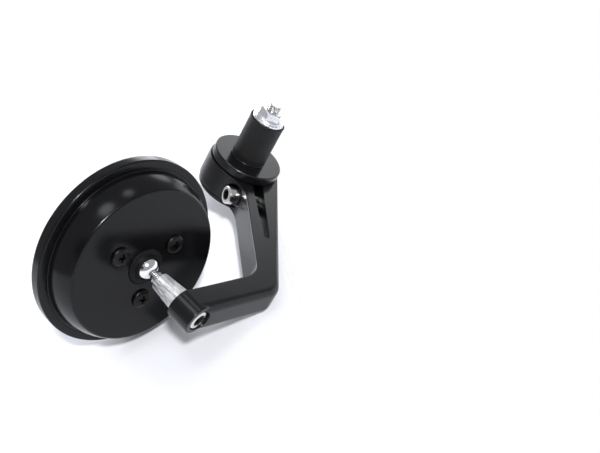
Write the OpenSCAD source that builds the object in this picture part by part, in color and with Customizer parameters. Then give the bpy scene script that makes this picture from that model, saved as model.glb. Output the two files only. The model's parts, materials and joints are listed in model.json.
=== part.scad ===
// Motorcycle bar end mirror: an expanding bar plug, a hub with a clamped arm,
// and a round mirror head on a ball joint.
// The origin is the centre of the flange face that meets the bar end.
// +Z runs up the plug into the bar, +X runs along the straight part of the arm.
// All lengths are in millimetres and all angles in degrees.

/* [Bar plug] */
// Diameter of the rubber plug, a close fit in the bar
plug_d = 17; // [15.5:0.1:19]
// Reach of the plug from the flange face to the rubber's end
plug_len = 21.5; // [16:0.5:30]
// Chamfer on both ends of the rubber plug
plug_chamfer = 0.3; // [0.1:0.05:0.8]
// Diameter of the washer that presses on the rubber
plug_washer_d = 15.4; // [13.5:0.1:15.5]
// Thickness of the washer that presses on the rubber
plug_washer_t = 1.4; // [0.8:0.1:2.5]

/* [Through bolt and nut] */
// Thread diameter of the through bolt
bolt_d = 6; // [5:0.1:6.4]
// Head diameter of the through bolt
bolt_head_d = 10; // [9:0.1:10.5]
// Head height of the through bolt
bolt_head_h = 6; // [4:0.1:6.5]
// Key size of the through bolt
bolt_key_w = 5; // [4:0.1:6]
// Thread that stands past the nut
bolt_end_len = 3.2; // [1:0.1:6]
// Size across flats of the nut
nut_w = 10; // [9:0.1:11]
// Height of the nut above its own flange
nut_h = 3.2; // [2.5:0.1:6]
// Diameter of the flange under the nut
nut_flange_d = 13; // [12.8:0.1:13.4]
// Thickness of the flange under the nut
nut_flange_t = 1.3; // [0.8:0.1:2]

/* [Hub] */
// Step from the clamp ring's rim in to the flange's rim
flange_ledge_w = 0.8; // [0.4:0.1:1.6]
// Thickness of the flange
flange_t = 4.2; // [3:0.1:6]
// Height of the spigot that centres the hub in the bar
spigot_h = 3; // [1.5:0.1:5]
// Diameter of the counterbore that takes the end cap's boss
hub_counterbore_d = 18; // [16:0.1:20]
// Depth of the counterbore that takes the end cap's boss
hub_counterbore_depth = 6; // [4:0.1:8]
// Edge chamfer on the flange, the clamp ring and the end cap
rim_chamfer = 0.5; // [0.2:0.05:0.8]

/* [End cap] */
// Step from the clamp ring's rim in to the end cap's rim
cap_ledge_w = 0.6; // [0.2:0.1:1.4]
// Thickness of the end cap
cap_t = 2.2; // [1.5:0.1:4]

/* [Clamp] */
// Diameter of the clamp ring
ring_d = 35.6; // [34:0.2:38]
// Wall of the clamp ring round the journal
ring_wall = 4.8; // [4.2:0.1:5.4]
// Width of the clamp slot where it leaves the ring
slot_ring_w = 4.4; // [3:0.1:5]
// Width of the clamp slot at its closed end
slot_end_w = 2; // [1:0.1:3]
// Distance from the plug axis to the closed end of the slot
slot_reach = 55; // [42:0.5:60]
// Distance of the slot's middle from the plug axis
slot_offset = 6; // [5:0.1:7]
// Distance of the pinch screw from the clamp ring's rim, along the arm
pinch_stand = 1.6; // [1.2:0.1:3]
// Lean of the pinch screw towards the plug axis
pinch_lean = 13; // [6:0.5:14]
// Diameter of the pocket around the pinch screw's head
pinch_pocket_d = 11; // [10.6:0.1:11.4]

/* [Arm] */
// Height of the arm along the plug axis
arm_h = 13.2; // [11:0.2:16]
// Distance of the arm's inner face from the plug axis
inner_face_offset = 1.5; // [0.5:0.1:2.5]
// Distance from the plug axis to the arm's inner corner
elbow_x = 81.5; // [72:0.5:95]
// Angle that the arm turns through at the elbow
elbow_turn = 55; // [40:1:60]
// Angle at which the outer face closes on the inner face
arm_taper = 6.9; // [5.8:0.1:8]
// Thickness of the forearm past the elbow
forearm_t = 10.2; // [9.4:0.1:11]
// Length of the forearm from the inner corner to the stud
forearm_len = 39.5; // [34:0.5:50]
// Radius inside the elbow
elbow_inner_r = 14; // [8:0.5:18]
// Radius outside the elbow
elbow_outer_r = 9; // [6:0.5:20]
// Round on the upper outside edge of the arm
edge_r = 1.4; // [0.8:0.1:2]
// Round on the lower outside edge of the arm
lower_edge_r = 0.6; // [0.4:0.1:1.2]
// Radius of the inside corner between the clamp ring and the arm
ring_corner_r = 8; // [3:0.5:9]
// Depth that this corner's curve bites into the ring, so that their faces cross
corner_bite = 0.02; // [0.01:0.01:0.1]
// Length of the boss at the arm's end
boss_len = 11.1; // [10.8:0.1:14]
// Stand of the boss past the forearm's inner face
boss_proud = 0.3; // [0.2:0.1:2]

/* [Ball stud] */
// Diameter of the ball
ball_d = 10; // [9.4:0.1:10.2]
// Diameter of the threaded neck behind the ball
neck_d = 4.9; // [4:0.1:5]
// Distance from the ball's centre to the sleeve
neck_len = 8.3; // [6.9:0.1:10]
// Angle of the stud away from square with the forearm
stud_lean = 7.7; // [4:0.1:10]
// Length of the cone sleeve
sleeve_len = 12; // [10:0.5:16]
// Diameter of the cone sleeve at its ball end
sleeve_ball_d = 7.6; // [7:0.1:8]
// Diameter of the cone sleeve at its arm end
sleeve_arm_d = 10; // [9:0.1:12]

/* [Mirror head] */
// Largest diameter of the mirror head
head_d = 80.6; // [78:0.5:90]
// Ledge of the bezel outside the cup's side wall
bezel_ledge = 4.1; // [3.8:0.1:4.4]
// Slope of the cup's side wall, from the ledge in to the flat back
cup_slope = 3.5; // [2:0.1:7]
// Depth of the cup from its back to the bezel
cup_depth = 11; // [10.8:0.1:13]
// Depth of the outward bow in the cup's side wall
cup_bow_depth = 0.6; // [0:0.1:1]
// Wall of the cup
cup_wall = 2; // [1.5:0.1:2.2]
// Depth of the bezel, front to back
bezel_depth = 5.3; // [5:0.1:6.5]
// Wall of the bezel round the mirror glass
bezel_wall = 3; // [2.6:0.1:3.4]
// Thickness of the mirror glass at its edge
glass_t = 2; // [1.5:0.1:2.2]
// Crown of the convex mirror glass
glass_crown = 0.5; // [0.2:0.05:0.8]
// Thickness of the gasket behind the glass
gasket_t = 0.5; // [0.4:0.05:0.8]
// Turn of the head about the plug axis from the stud
head_swing = -10.4; // [-18:0.1:0]
// Lift of the head's axis out of the arm's plane
head_lift = 15.5; // [5:0.1:19]

/* [Ball joint] */
// Distance from the cup's back face out to the ball's centre
ball_proud = 0.4; // [0.2:0.05:0.6]
// Outside diameter of the socket's nose in the cup's hole
nose_d = 15.4; // [15:0.1:16.4]
// Stand of the socket's lip past the ball's centre
nose_lip_h = 2.2; // [1.8:0.1:2.3]
// Thickness of the socket's flange inside the cup
socket_flange_t = 1.9; // [1.5:0.1:2.4]
// Thickness of the friction pad under the ball
pad_t = 1.1; // [0.9:0.05:1.3]
// Thickness of metal under the friction pad's pocket
pressure_cup_floor = 2.1; // [1.5:0.1:3]
// Height that the spring washer takes up
spring_h = 0.9; // [0.7:0.05:1.4]
// Thickness of the pressed retainer
retainer_t = 1.5; // [1:0.1:1.6]

/* [Small screws] */
// Thread diameter of the pinch screw and the arm screw
screw_d = 5; // [4.4:0.1:5.2]
// Head diameter of the pinch screw and the arm screw
screw_head_d = 8.5; // [8:0.1:8.8]
// Head height of the pinch screw and the arm screw
screw_head_h = 5; // [4:0.1:5.4]
// Key size of the pinch screw and the arm screw
screw_key_w = 4; // [3:0.1:4.6]
// Number of screws in the back of the head
head_screws = 3; // [3:1:4]
// Distance of the head screws from the head's axis
head_screw_place_r = 14.7; // [14.2:0.1:15.6]
// Turn of the first head screw about the head's axis
head_screw_turn = 6; // [0:1:60]
// Thread diameter of the head screws
head_screw_d = 4; // [3:0.1:4.2]
// Head diameter of the head screws
head_screw_head_d = 8; // [7:0.1:8.4]
// Head height of the head screws
head_screw_head_h = 2.5; // [2:0.1:3]

/* [Hidden] */
$fn = 96;

// Fits and small gaps
running_fit = 0.05;      // radial gap between the journal and the arm
thread_fit = 0.05;       // radial gap between a thread and its tapped hole
pass_fit = 0.2;          // radial gap between a screw and a plain hole
seat_fit = 0.1;          // gap between pieces that nest in one body
side_float = 0.4;        // end float of the arm between flange and cap
ball_fit = 0.15;         // radial gap between the ball and the socket's lip
pad_fit = 0.1;           // radial gap on either side of the friction pad
over = 1;                // overrun of every cutting shape

// Colours as the photograph shows them
black_satin = [0.13, 0.13, 0.14];
black_matt = [0.08, 0.08, 0.09];
rubber_black = [0.1, 0.1, 0.1];
zinc = [0.86, 0.87, 0.88];
steel = [0.72, 0.72, 0.74];
chrome = [0.85, 0.85, 0.87];
turned = [0.8, 0.81, 0.83];
silvered = [0.92, 0.94, 0.96];

// Diameters of the hub stack
journal_d = ring_d - 2 * ring_wall - 2 * running_fit;
flange_d = ring_d - 2 * flange_ledge_w;
cap_d = ring_d - 2 * cap_ledge_w;

// Levels along the plug axis
arm_top = -flange_t - side_float;
arm_mid = arm_top - arm_h / 2;
arm_bottom = arm_top - arm_h;
cap_top = arm_bottom - side_float;
cap_bottom = cap_top - cap_t;
journal_end = cap_top + seat_fit;
counterbore_floor = journal_end + hub_counterbore_depth;
bolt_seat = cap_bottom + bolt_head_h + seat_fit;
nut_base = plug_len + plug_washer_t;
nut_top = nut_base + nut_flange_t + nut_h;
bolt_tip = nut_top + bolt_end_len;

// Plan of the arm
ring_r = ring_d / 2;
inner_y = -inner_face_offset;
fore_dir = -elbow_turn;                 // direction of the forearm away from the elbow
fore_out = 90 - elbow_turn;             // outward normal of the forearm's outer face
upper_out = 90 - arm_taper;             // outward normal of the upper arm's outer face
stud_az = fore_out + stud_lean;         // the stud points from the ball to the arm
inner_corner = [elbow_x, inner_y];
fore_outer_reach = inner_corner * unit(fore_out) + forearm_t;
outer_corner = meet(upper_out, ring_r, fore_out, fore_outer_reach);
stud_cross = inner_corner + forearm_len * unit(fore_dir);
boss_start = stud_cross - boss_proud * unit(stud_az);
boss_end = boss_start + boss_len * unit(stud_az);
ball_xy = boss_start - (sleeve_len + neck_len) * unit(stud_az);
ball_centre = [ball_xy[0], ball_xy[1], arm_mid];
arm_span = elbow_x + forearm_len;
boss_d = arm_h;

// Pinch screw
pinch_dir = 90 + pinch_lean;
pinch_seat = [ring_r + pinch_stand, inner_y];
lock_washer_t = 1.2;
lock_washer_d = screw_head_d + 0.1 * screw_d;
lock_washer_split = 0.3 * screw_d;
flat_washer_t = 1;
flat_washer_d = 2 * screw_d;
pinch_engage = screw_d;                 // thread in the far jaw
pinch_len = (slot_offset + inner_face_offset + slot_ring_w / 2) / cos(pinch_lean) + pinch_engage;

// Sockets and recesses as shares of their heads
key_depth_share = 0.5;
cross_width_share = 0.16;
cross_length_share = 0.56;
cross_depth_share = 0.6;
key_chamfer_share = 0.08;

// Arm screw
arm_screw_seat_depth = screw_head_h + seat_fit;
arm_screw_engage = 0.8 * screw_d;
stud_thread_len = sleeve_len - arm_screw_engage - 2 * pass_fit;

// Head levels on its own axis, with the ball's centre at zero and the back towards +Z
back_z = -ball_proud;
plate_in_z = back_z - cup_wall;
bezel_rear_z = back_z - cup_depth;
mouth_z = bezel_rear_z - cup_wall;
bezel_front_z = bezel_rear_z - bezel_depth;
glass_rear_z = mouth_z - gasket_t;
glass_front_z = glass_rear_z - glass_t;
head_r = head_d / 2;
bezel_bore_r = head_r - bezel_wall;
glass_r = bezel_bore_r - seat_fit;
cup_flange_r = glass_r;
cup_r = head_r - bezel_ledge;
back_r = cup_r - cup_slope;
bezel_lip = 1;                           // reach of the bezel's lip over the glass
bezel_bevel = 0.9;
bezel_lip_t = glass_front_z - bezel_front_z - seat_fit / 2;
gasket_w = 2.6;
back_chamfer = 0.4;
wall_steps = 8;

// Ball joint sizes
ball_r = ball_d / 2;
lip_bore_r = ball_r + ball_fit;
pad_in_r = ball_r + pad_fit;
pad_out_r = pad_in_r + pad_t;
pocket_r = pad_out_r + pad_fit;
lip_depth = 0.09 * ball_r;               // the lip's bore ends this far below the ball's centre
pad_rim_z = -0.9 * ball_r;               // rim of the friction pad, low enough for the full tilt
nose_r = nose_d / 2;
nose_lip_t = 1;
nose_shoulder = 0.4;
socket_flange_r = nose_r + 1.7;
socket_top_z = plate_in_z;
socket_bottom_z = socket_top_z - socket_flange_t;
pressure_cup_r = nose_r + 1;
pressure_cup_top_z = socket_bottom_z - seat_fit;
pressure_cup_bottom_z = -pocket_r - pressure_cup_floor;
spring_top_z = pressure_cup_bottom_z;
spring_bottom_z = spring_top_z - spring_h;
spring_t = spring_h / 2;
spring_bore_r = 0.4 * pressure_cup_r;
retainer_floor_z = spring_bottom_z;
retainer_well_r = socket_flange_r + 2 * seat_fit;
retainer_flange_top_z = plate_in_z - 0.8;
retainer_flange_r = head_screw_place_r + head_screw_head_d / 2 + seat_fit;
head_screw_len = -(retainer_flange_top_z - retainer_t - head_screw_d / 2) + back_z;

function unit(a) = [cos(a), sin(a)];

// The point on two lines, each given by its normal's angle and its distance from the origin
function meet(a, da, b, db) =
    [da * sin(b) - db * sin(a), db * cos(a) - da * cos(b)] / sin(b - a);

// Points on a shallow arc from one place to another
function bowed(from, to, bow, steps) =
    let (along = to - from, side = [along[1], -along[0]] / norm(along))
    [for (i = [0:steps]) let (t = i / steps) from + t * along + 4 * bow * t * (1 - t) * side];

// Places of the shared frames
module on_stud(along) {
    translate(concat(boss_start + along * unit(stud_az), [arm_mid])) rotate([0, 90, stud_az]) children();
}

module on_pinch(along) {
    translate(concat(pinch_seat + along * unit(pinch_dir), [arm_mid])) rotate([0, 90, pinch_dir]) children();
}

module on_head() {
    translate(ball_centre) rotate([0, 90 - head_lift, stud_az + head_swing]) children();
}

module drop(z) {
    translate([0, 0, z]) children();
}

// A flat-ended cylinder with both rims chamfered
module turned_disc(d, h, chamfer) {
    r = d / 2;
    rotate_extrude() polygon([
        [0, 0], [r - chamfer, 0], [r, chamfer], [r, h - chamfer], [r - chamfer, h], [0, h]
    ]);
}

module bore(d, from, to) {
    drop(from - over) cylinder(d = d, h = to - from + 2 * over);
}

// A socket-head cap screw with its seat at zero, its shank up and its head down
module cap_screw(d, len, head_d, head_h, key_w) {
    edge = key_chamfer_share * head_d;
    key_depth = key_depth_share * head_h;
    difference() {
        union() {
            cylinder(d = d, h = len);
            drop(-head_h) rotate_extrude() polygon([
                [0, 0], [head_d / 2 - edge, 0], [head_d / 2, edge], [head_d / 2, head_h], [0, head_h]
            ]);
        }
        drop(-head_h - over) cylinder(d = key_w / cos(30), h = key_depth + over, $fn = 6);
    }
}

// A plane wedge with a rounded tip, used for both sides of the elbow
module rounded_wedge(tip, edge_a, edge_b, r, reach) {
    half = (edge_b - edge_a) / 2;
    run = r / tan(half);
    middle = tip + r / sin(half) * unit(edge_a + half);
    polygon([
        tip + run * unit(edge_a), tip + reach * unit(edge_a),
        tip + 2 * reach * unit(edge_a + half),
        tip + reach * unit(edge_b), tip + run * unit(edge_b)
    ]);
    translate(middle) circle(r = r);
}

module hub() {
    color(black_satin) difference() {
        union() {
            drop(-flange_t) turned_disc(flange_d, flange_t, rim_chamfer);
            drop(journal_end) cylinder(d = journal_d, h = -flange_t / 2 - journal_end);
            drop(-flange_t / 2) cylinder(d = plug_d, h = flange_t / 2 + spigot_h);
        }
        bore(bolt_d + 2 * pass_fit, journal_end, spigot_h);
        drop(journal_end - over) cylinder(d = hub_counterbore_d, h = hub_counterbore_depth + over);
    }
}

module end_cap() {
    boss_d = hub_counterbore_d - 2 * seat_fit;
    color(black_satin) difference() {
        union() {
            drop(cap_bottom) turned_disc(cap_d, cap_t, rim_chamfer);
            drop(cap_bottom + cap_t / 2) cylinder(d = boss_d, h = counterbore_floor - cap_bottom - cap_t / 2);
        }
        bore(bolt_d + 2 * pass_fit, cap_bottom, counterbore_floor);
        drop(cap_bottom - over) cylinder(d = bolt_head_d + 2 * pass_fit, h = bolt_seat - cap_bottom + over);
    }
}

module through_bolt() {
    tip_round = bolt_d / 8;
    color(steel) {
        drop(bolt_seat) cap_screw(bolt_d, bolt_tip - bolt_seat - tip_round, bolt_head_d, bolt_head_h, bolt_key_w);
        drop(bolt_tip - tip_round) cylinder(d1 = bolt_d, d2 = bolt_d - 2 * tip_round, h = tip_round);
    }
}

module plug_rubber() {
    color(rubber_black) drop(spigot_h) difference() {
        turned_disc(plug_d, plug_len - spigot_h, plug_chamfer);
        bore(bolt_d + 2 * pass_fit, 0, plug_len - spigot_h);
    }
}

module plug_washer() {
    color(zinc) drop(plug_len) difference() {
        turned_disc(plug_washer_d, plug_washer_t, plug_washer_t / 5);
        bore(bolt_d + 2 * pass_fit, 0, plug_washer_t);
    }
}

module flange_nut() {
    lead = nut_h / 8;
    corner_r = nut_w / 2 / cos(30);
    color(zinc) drop(nut_base) difference() {
        union() {
            cylinder(d1 = nut_flange_d, d2 = nut_w, h = nut_flange_t);
            intersection() {
                cylinder(r = corner_r, h = nut_flange_t + nut_h, $fn = 6);
                rotate_extrude() polygon([
                    [0, 0], [corner_r, 0], [corner_r, nut_flange_t + nut_h - lead],
                    [nut_w / 2, nut_flange_t + nut_h], [0, nut_flange_t + nut_h]
                ]);
            }
        }
        bore(bolt_d + 2 * thread_fit, 0, nut_flange_t + nut_h);
    }
}

// Plan of the arm between the clamp ring and the stud
module arm_plan() {
    intersection() {
        difference() {
            rounded_wedge(outer_corner, 180 - arm_taper, 360 + fore_dir, elbow_outer_r, 2 * arm_span);
            rounded_wedge(inner_corner, 180, 360 + fore_dir, elbow_inner_r, 2 * arm_span);
        }
        // nothing before the ring's tangent
        rotate(-arm_taper) translate([0, -arm_span]) square(2 * arm_span);
        // nothing past the stud
        translate(stud_cross) rotate(stud_az) translate([-arm_span, 0]) square(2 * arm_span);
    }
}

// Plan of the web that rounds the corner between the clamp ring and the arm's inner face
module ring_corner_plan() {
    middle_y = inner_y - ring_corner_r;
    middle_x = sqrt(pow(ring_r + ring_corner_r - corner_bite, 2) - pow(middle_y, 2));
    difference() {
        polygon([[0, 0], [middle_x, 0], [middle_x, middle_y]]);
        translate([middle_x, middle_y]) circle(r = ring_corner_r);
    }
}

module clamp_slot_plan() {
    half_start = slot_ring_w / 2;
    half_end = slot_end_w / 2;
    flare = (half_start - half_end) / (slot_reach - ring_r);
    half_in = half_start + flare * ring_r;
    polygon([
        [0, slot_offset - half_in], [slot_reach - half_end, slot_offset - half_end],
        [slot_reach - half_end, slot_offset + half_end], [0, slot_offset + half_in]
    ]);
    translate([slot_reach - half_end, slot_offset]) circle(r = half_end);
}

// Cutter that rounds an outside edge: the edge is its origin, X points out and Y up
module edge_profile(r) {
    difference() {
        translate([-r, -r]) square(r + over);
        translate([-r, -r]) circle(r = r);
    }
}

// Straight passes of a corner cutter along the two outside faces, which run out in the elbow's curve
module outer_edge_passes(r) {
    for (face = [upper_out, fore_out])
        translate(outer_corner) rotate([90, 0, face]) translate([0, 0, -arm_span])
            linear_extrude(2 * arm_span) edge_profile(r);
}

module arm() {
    stack = flat_washer_t + lock_washer_t + screw_head_h;
    color(black_satin) difference() {
        union() {
            difference() {
                drop(arm_bottom) linear_extrude(arm_h) arm_plan();
                drop(arm_top) outer_edge_passes(edge_r);
                drop(arm_bottom) mirror([0, 0, 1]) outer_edge_passes(lower_edge_r);
            }
            drop(arm_bottom) turned_disc(ring_d, arm_h, rim_chamfer);
            drop(arm_bottom) linear_extrude(arm_h) ring_corner_plan();
            on_stud(0) cylinder(d = boss_d, h = boss_len);
        }
        // bore for the journal, and the slot that lets the ring close on it
        bore(journal_d + 2 * running_fit, arm_bottom, arm_top);
        drop(arm_bottom - over) linear_extrude(arm_h + 2 * over) clamp_slot_plan();
        // pinch screw: pocket, plain hole in the near jaw, tapped hole in the far jaw
        on_pinch(-stack - screw_head_h) cylinder(d = pinch_pocket_d, h = stack + screw_head_h);
        on_pinch(-over) cylinder(d = screw_d + 2 * pass_fit, h = slot_offset + inner_face_offset + over);
        on_pinch(0) cylinder(d = screw_d + 2 * thread_fit, h = pinch_len + pass_fit);
        // arm screw: counterbore and plain hole
        on_stud(boss_len - arm_screw_seat_depth) cylinder(d = screw_head_d + 4 * pass_fit, h = boss_len);
        on_stud(-over) cylinder(d = screw_d + 2 * pass_fit, h = boss_len + 2 * over);
    }
}

module pinch_screw() {
    color(steel) on_pinch(-flat_washer_t - lock_washer_t)
        cap_screw(screw_d, pinch_len + flat_washer_t + lock_washer_t, screw_head_d, screw_head_h, screw_key_w);
}

module pinch_lock_washer() {
    color(steel) on_pinch(-flat_washer_t - lock_washer_t) difference() {
        cylinder(d = lock_washer_d, h = lock_washer_t);
        bore(screw_d + 2 * pass_fit, 0, lock_washer_t);
        translate([0, -lock_washer_split / 2, -over])
            cube([lock_washer_d, lock_washer_split, lock_washer_t + 2 * over]);
    }
}

module pinch_washer() {
    color(zinc) on_pinch(-flat_washer_t) difference() {
        cylinder(d = flat_washer_d, h = flat_washer_t);
        bore(screw_d + 2 * pass_fit, 0, flat_washer_t);
    }
}

module arm_screw() {
    seat = boss_len - arm_screw_seat_depth;
    color(steel) on_stud(seat) rotate([180, 0, 0])
        cap_screw(screw_d, seat + arm_screw_engage, screw_head_d, screw_head_h, screw_key_w);
}

module cone_sleeve() {
    color(turned) on_stud(-sleeve_len) difference() {
        cylinder(d1 = sleeve_ball_d, d2 = sleeve_arm_d, h = sleeve_len);
        bore(screw_d + 2 * thread_fit, 0, sleeve_len);
    }
}

module ball_stud() {
    color(chrome) on_stud(-sleeve_len - neck_len) {
        sphere(d = ball_d);
        cylinder(d = neck_d, h = neck_len + stud_thread_len);
    }
}

module friction_pad() {
    color(black_matt) on_head() intersection() {
        difference() {
            sphere(r = pad_out_r);
            sphere(r = pad_in_r);
        }
        drop(pad_rim_z - pad_out_r) cylinder(r = pad_out_r, h = pad_out_r);
    }
}

module pressure_cup() {
    color(steel) on_head() difference() {
        drop(pressure_cup_bottom_z) cylinder(r = pressure_cup_r, h = pressure_cup_top_z - pressure_cup_bottom_z);
        sphere(r = pocket_r);
    }
}

module ball_socket() {
    color(black_matt) on_head() difference() {
        rotate_extrude() polygon([
            [0, socket_bottom_z], [socket_flange_r, socket_bottom_z], [socket_flange_r, socket_top_z],
            [nose_r, socket_top_z], [nose_r, back_z + nose_shoulder],
            [lip_bore_r + nose_lip_t / 2, nose_lip_h], [0, nose_lip_h]
        ]);
        sphere(r = lip_bore_r);
        intersection() {
            sphere(r = pocket_r);
            drop(-lip_depth - pocket_r) cylinder(r = pocket_r, h = pocket_r);
        }
    }
}

module spring_washer() {
    outer_r = pressure_cup_r - seat_fit;
    color(steel) on_head() rotate_extrude() polygon([
        [spring_bore_r, spring_top_z], [spring_bore_r, spring_top_z - spring_t],
        [outer_r, spring_bottom_z], [outer_r, spring_bottom_z + spring_t]
    ]);
}

// A pressed steel hat: the ball joint sits in its well and the screws draw in its brim
module retainer() {
    brim_z = retainer_flange_top_z;
    well_out_r = retainer_well_r + retainer_t;
    color(steel) on_head() difference() {
        rotate_extrude() polygon([
            [spring_bore_r, retainer_floor_z], [retainer_well_r, retainer_floor_z],
            [retainer_well_r, brim_z], [retainer_flange_r, brim_z],
            [retainer_flange_r, brim_z - retainer_t], [well_out_r, brim_z - retainer_t],
            [well_out_r, retainer_floor_z - retainer_t], [spring_bore_r, retainer_floor_z - retainer_t]
        ]);
        at_head_screws() drop(brim_z - retainer_t - over)
            cylinder(d = head_screw_d + 2 * thread_fit, h = retainer_t + 2 * over);
    }
}

module at_head_screws() {
    for (i = [0:head_screws - 1]) at_head_screw(i) children();
}

module at_head_screw(i) {
    rotate(head_screw_turn + i * 360 / head_screws) translate([head_screw_place_r, 0]) children();
}

// The cup: a flat back, a bowed side wall and a small flange in the bezel's bore
module housing() {
    outer = bowed([back_r, back_z - back_chamfer], [cup_r, bezel_rear_z], -cup_bow_depth, wall_steps);
    inner = bowed([cup_r - cup_wall, mouth_z], [back_r - cup_wall, plate_in_z], cup_bow_depth, wall_steps);
    color(black_satin) on_head() difference() {
        rotate_extrude() polygon(concat(
            [[nose_r + seat_fit, plate_in_z], [nose_r + seat_fit, back_z], [back_r - back_chamfer, back_z]],
            outer,
            [[cup_flange_r, bezel_rear_z], [cup_flange_r, mouth_z]],
            inner
        ));
        at_head_screws() bore(head_screw_d + 2 * pass_fit, plate_in_z, back_z);
    }
}

module bezel() {
    lip_r = glass_r - bezel_lip;
    rear_bevel = head_r - bezel_bevel / 1.5;
    color(black_satin) on_head() rotate_extrude() polygon([
        [bezel_bore_r, bezel_rear_z], [rear_bevel, bezel_rear_z], [head_r, bezel_rear_z - bezel_bevel],
        [head_r, bezel_front_z + bezel_bevel], [head_r - bezel_bevel, bezel_front_z],
        [lip_r + bezel_bevel, bezel_front_z], [lip_r, bezel_front_z + bezel_lip_t / 2],
        [lip_r, bezel_front_z + bezel_lip_t], [bezel_bore_r, bezel_front_z + bezel_lip_t]
    ]);
}

module mirror_glass() {
    crown = bowed([glass_r, glass_front_z], [-glass_r, glass_front_z], -glass_crown, 2 * wall_steps);
    color(silvered) on_head() rotate_extrude() polygon(concat(
        [[0, glass_rear_z], [glass_r, glass_rear_z]],
        [for (i = [0:wall_steps]) crown[i]]
    ));
}

module glass_gasket() {
    color(black_matt) on_head() drop(glass_rear_z) difference() {
        cylinder(r = cup_flange_r, h = gasket_t);
        bore(2 * (cup_flange_r - gasket_w), 0, gasket_t);
    }
}

// A pan-head screw with a cross recess, its seat at zero and its shank down
module head_screw(i) {
    dome = head_screw_head_h / 2;
    slot_w = cross_width_share * head_screw_head_d;
    slot_l = cross_length_share * head_screw_head_d;
    slot_depth = cross_depth_share * head_screw_head_h;
    head_r = head_screw_head_d / 2;
    color(black_matt) on_head() at_head_screw(i) drop(back_z) difference() {
        union() {
            drop(-head_screw_len) cylinder(d = head_screw_d, h = head_screw_len + dome / 2);
            rotate_extrude() polygon([
                [0, 0], [head_r, 0], [head_r, dome], [head_r - dome / 2, dome + dome / 2],
                [head_r - dome, head_screw_head_h], [0, head_screw_head_h]
            ]);
        }
        for (a = [0, 90]) rotate(a) translate([-slot_l / 2, -slot_w / 2, head_screw_head_h - slot_depth])
            cube([slot_l, slot_w, slot_depth + over]);
    }
}

hub();
end_cap();
through_bolt();
plug_rubber();
plug_washer();
flange_nut();
arm();
pinch_screw();
pinch_lock_washer();
pinch_washer();
arm_screw();
cone_sleeve();
ball_stud();
friction_pad();
pressure_cup();
housing();
bezel();
mirror_glass();
glass_gasket();
ball_socket();
spring_washer();
retainer();
head_screw(0);  // head_screw_1
head_screw(1);  // head_screw_2
head_screw(2);  // head_screw_3
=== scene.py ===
"""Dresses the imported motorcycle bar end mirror: every shown piece, its finish, and a small studio.

Lengths are millimetres until a piece is placed, when they become metres in the CAD's frame.
"""

import json
import logging
import math
from dataclasses import dataclass, field
from enum import Enum
from typing import Any, Sequence

import bmesh
import bpy
from bmesh.types import BMEdge, BMesh, BMFace, BMVert
from bpy.types import Camera, Light, Material, Mesh, Node, NodeSocket, NodeTree, Object
from mathutils import Matrix, Vector


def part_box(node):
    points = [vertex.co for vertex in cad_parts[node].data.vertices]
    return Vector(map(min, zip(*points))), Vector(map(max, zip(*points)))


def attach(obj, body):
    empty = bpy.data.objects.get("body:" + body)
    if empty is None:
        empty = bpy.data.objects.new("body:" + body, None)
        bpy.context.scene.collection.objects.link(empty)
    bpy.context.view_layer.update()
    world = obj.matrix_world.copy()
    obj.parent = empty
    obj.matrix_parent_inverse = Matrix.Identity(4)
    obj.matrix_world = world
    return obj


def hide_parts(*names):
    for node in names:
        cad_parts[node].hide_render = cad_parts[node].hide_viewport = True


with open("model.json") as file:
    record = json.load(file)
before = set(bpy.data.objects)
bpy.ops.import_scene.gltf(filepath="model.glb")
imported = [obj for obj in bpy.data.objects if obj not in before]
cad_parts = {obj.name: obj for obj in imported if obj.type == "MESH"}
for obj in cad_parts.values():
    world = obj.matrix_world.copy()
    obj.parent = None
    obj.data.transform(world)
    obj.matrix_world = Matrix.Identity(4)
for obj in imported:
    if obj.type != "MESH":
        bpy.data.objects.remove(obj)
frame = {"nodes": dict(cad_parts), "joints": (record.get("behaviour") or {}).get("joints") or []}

LOG = logging.getLogger("bar_end_mirror")
MM = 0.001

# How near counts as the same place, height or radius, in millimetres
NEAR = 1e-3
LEVEL_NEAR = 0.02
RIM_NEAR = 0.01

# What the clean-up after a cut merges, in metres and degrees
DOUBLE_M = 5e-6
THIN_M = 2e-6
FLAT_DEG = 0.3

# How far a cutter reaches past a face, well clear of it or barely, in millimetres
PAST = 1.0
SKIM = 0.1

# Steps round a turned solid
HOLE_STEPS = 48
SCREW_STEPS = 64
TURN_STEPS = 96
FINE_STEPS = 128
HEAD_STEPS = 160

Triple = tuple[float, float, float]
Colour = Triple
Number = "Value | float"


class Body(Enum):
    """The CAD bodies that pieces ride on."""

    ROOT = "root"
    ARM = "arm"
    HEAD = "head"


class Slot(Enum):
    """The record's material slots."""

    ANODISED = "black_anodised"
    STEEL = "steel"
    ZINC = "zinc_plated"
    RUBBER = "rubber"
    TURNED = "turned_aluminium"
    CHROME = "chrome"
    NYLON = "black_nylon"
    BLACK_STEEL = "black_steel"
    GLASS = "silvered_glass"


class Cut(Enum):
    """How one solid acts on another."""

    JOIN = "UNION"
    REMOVE = "DIFFERENCE"
    KEEP = "INTERSECT"


# Shader maths


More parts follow.
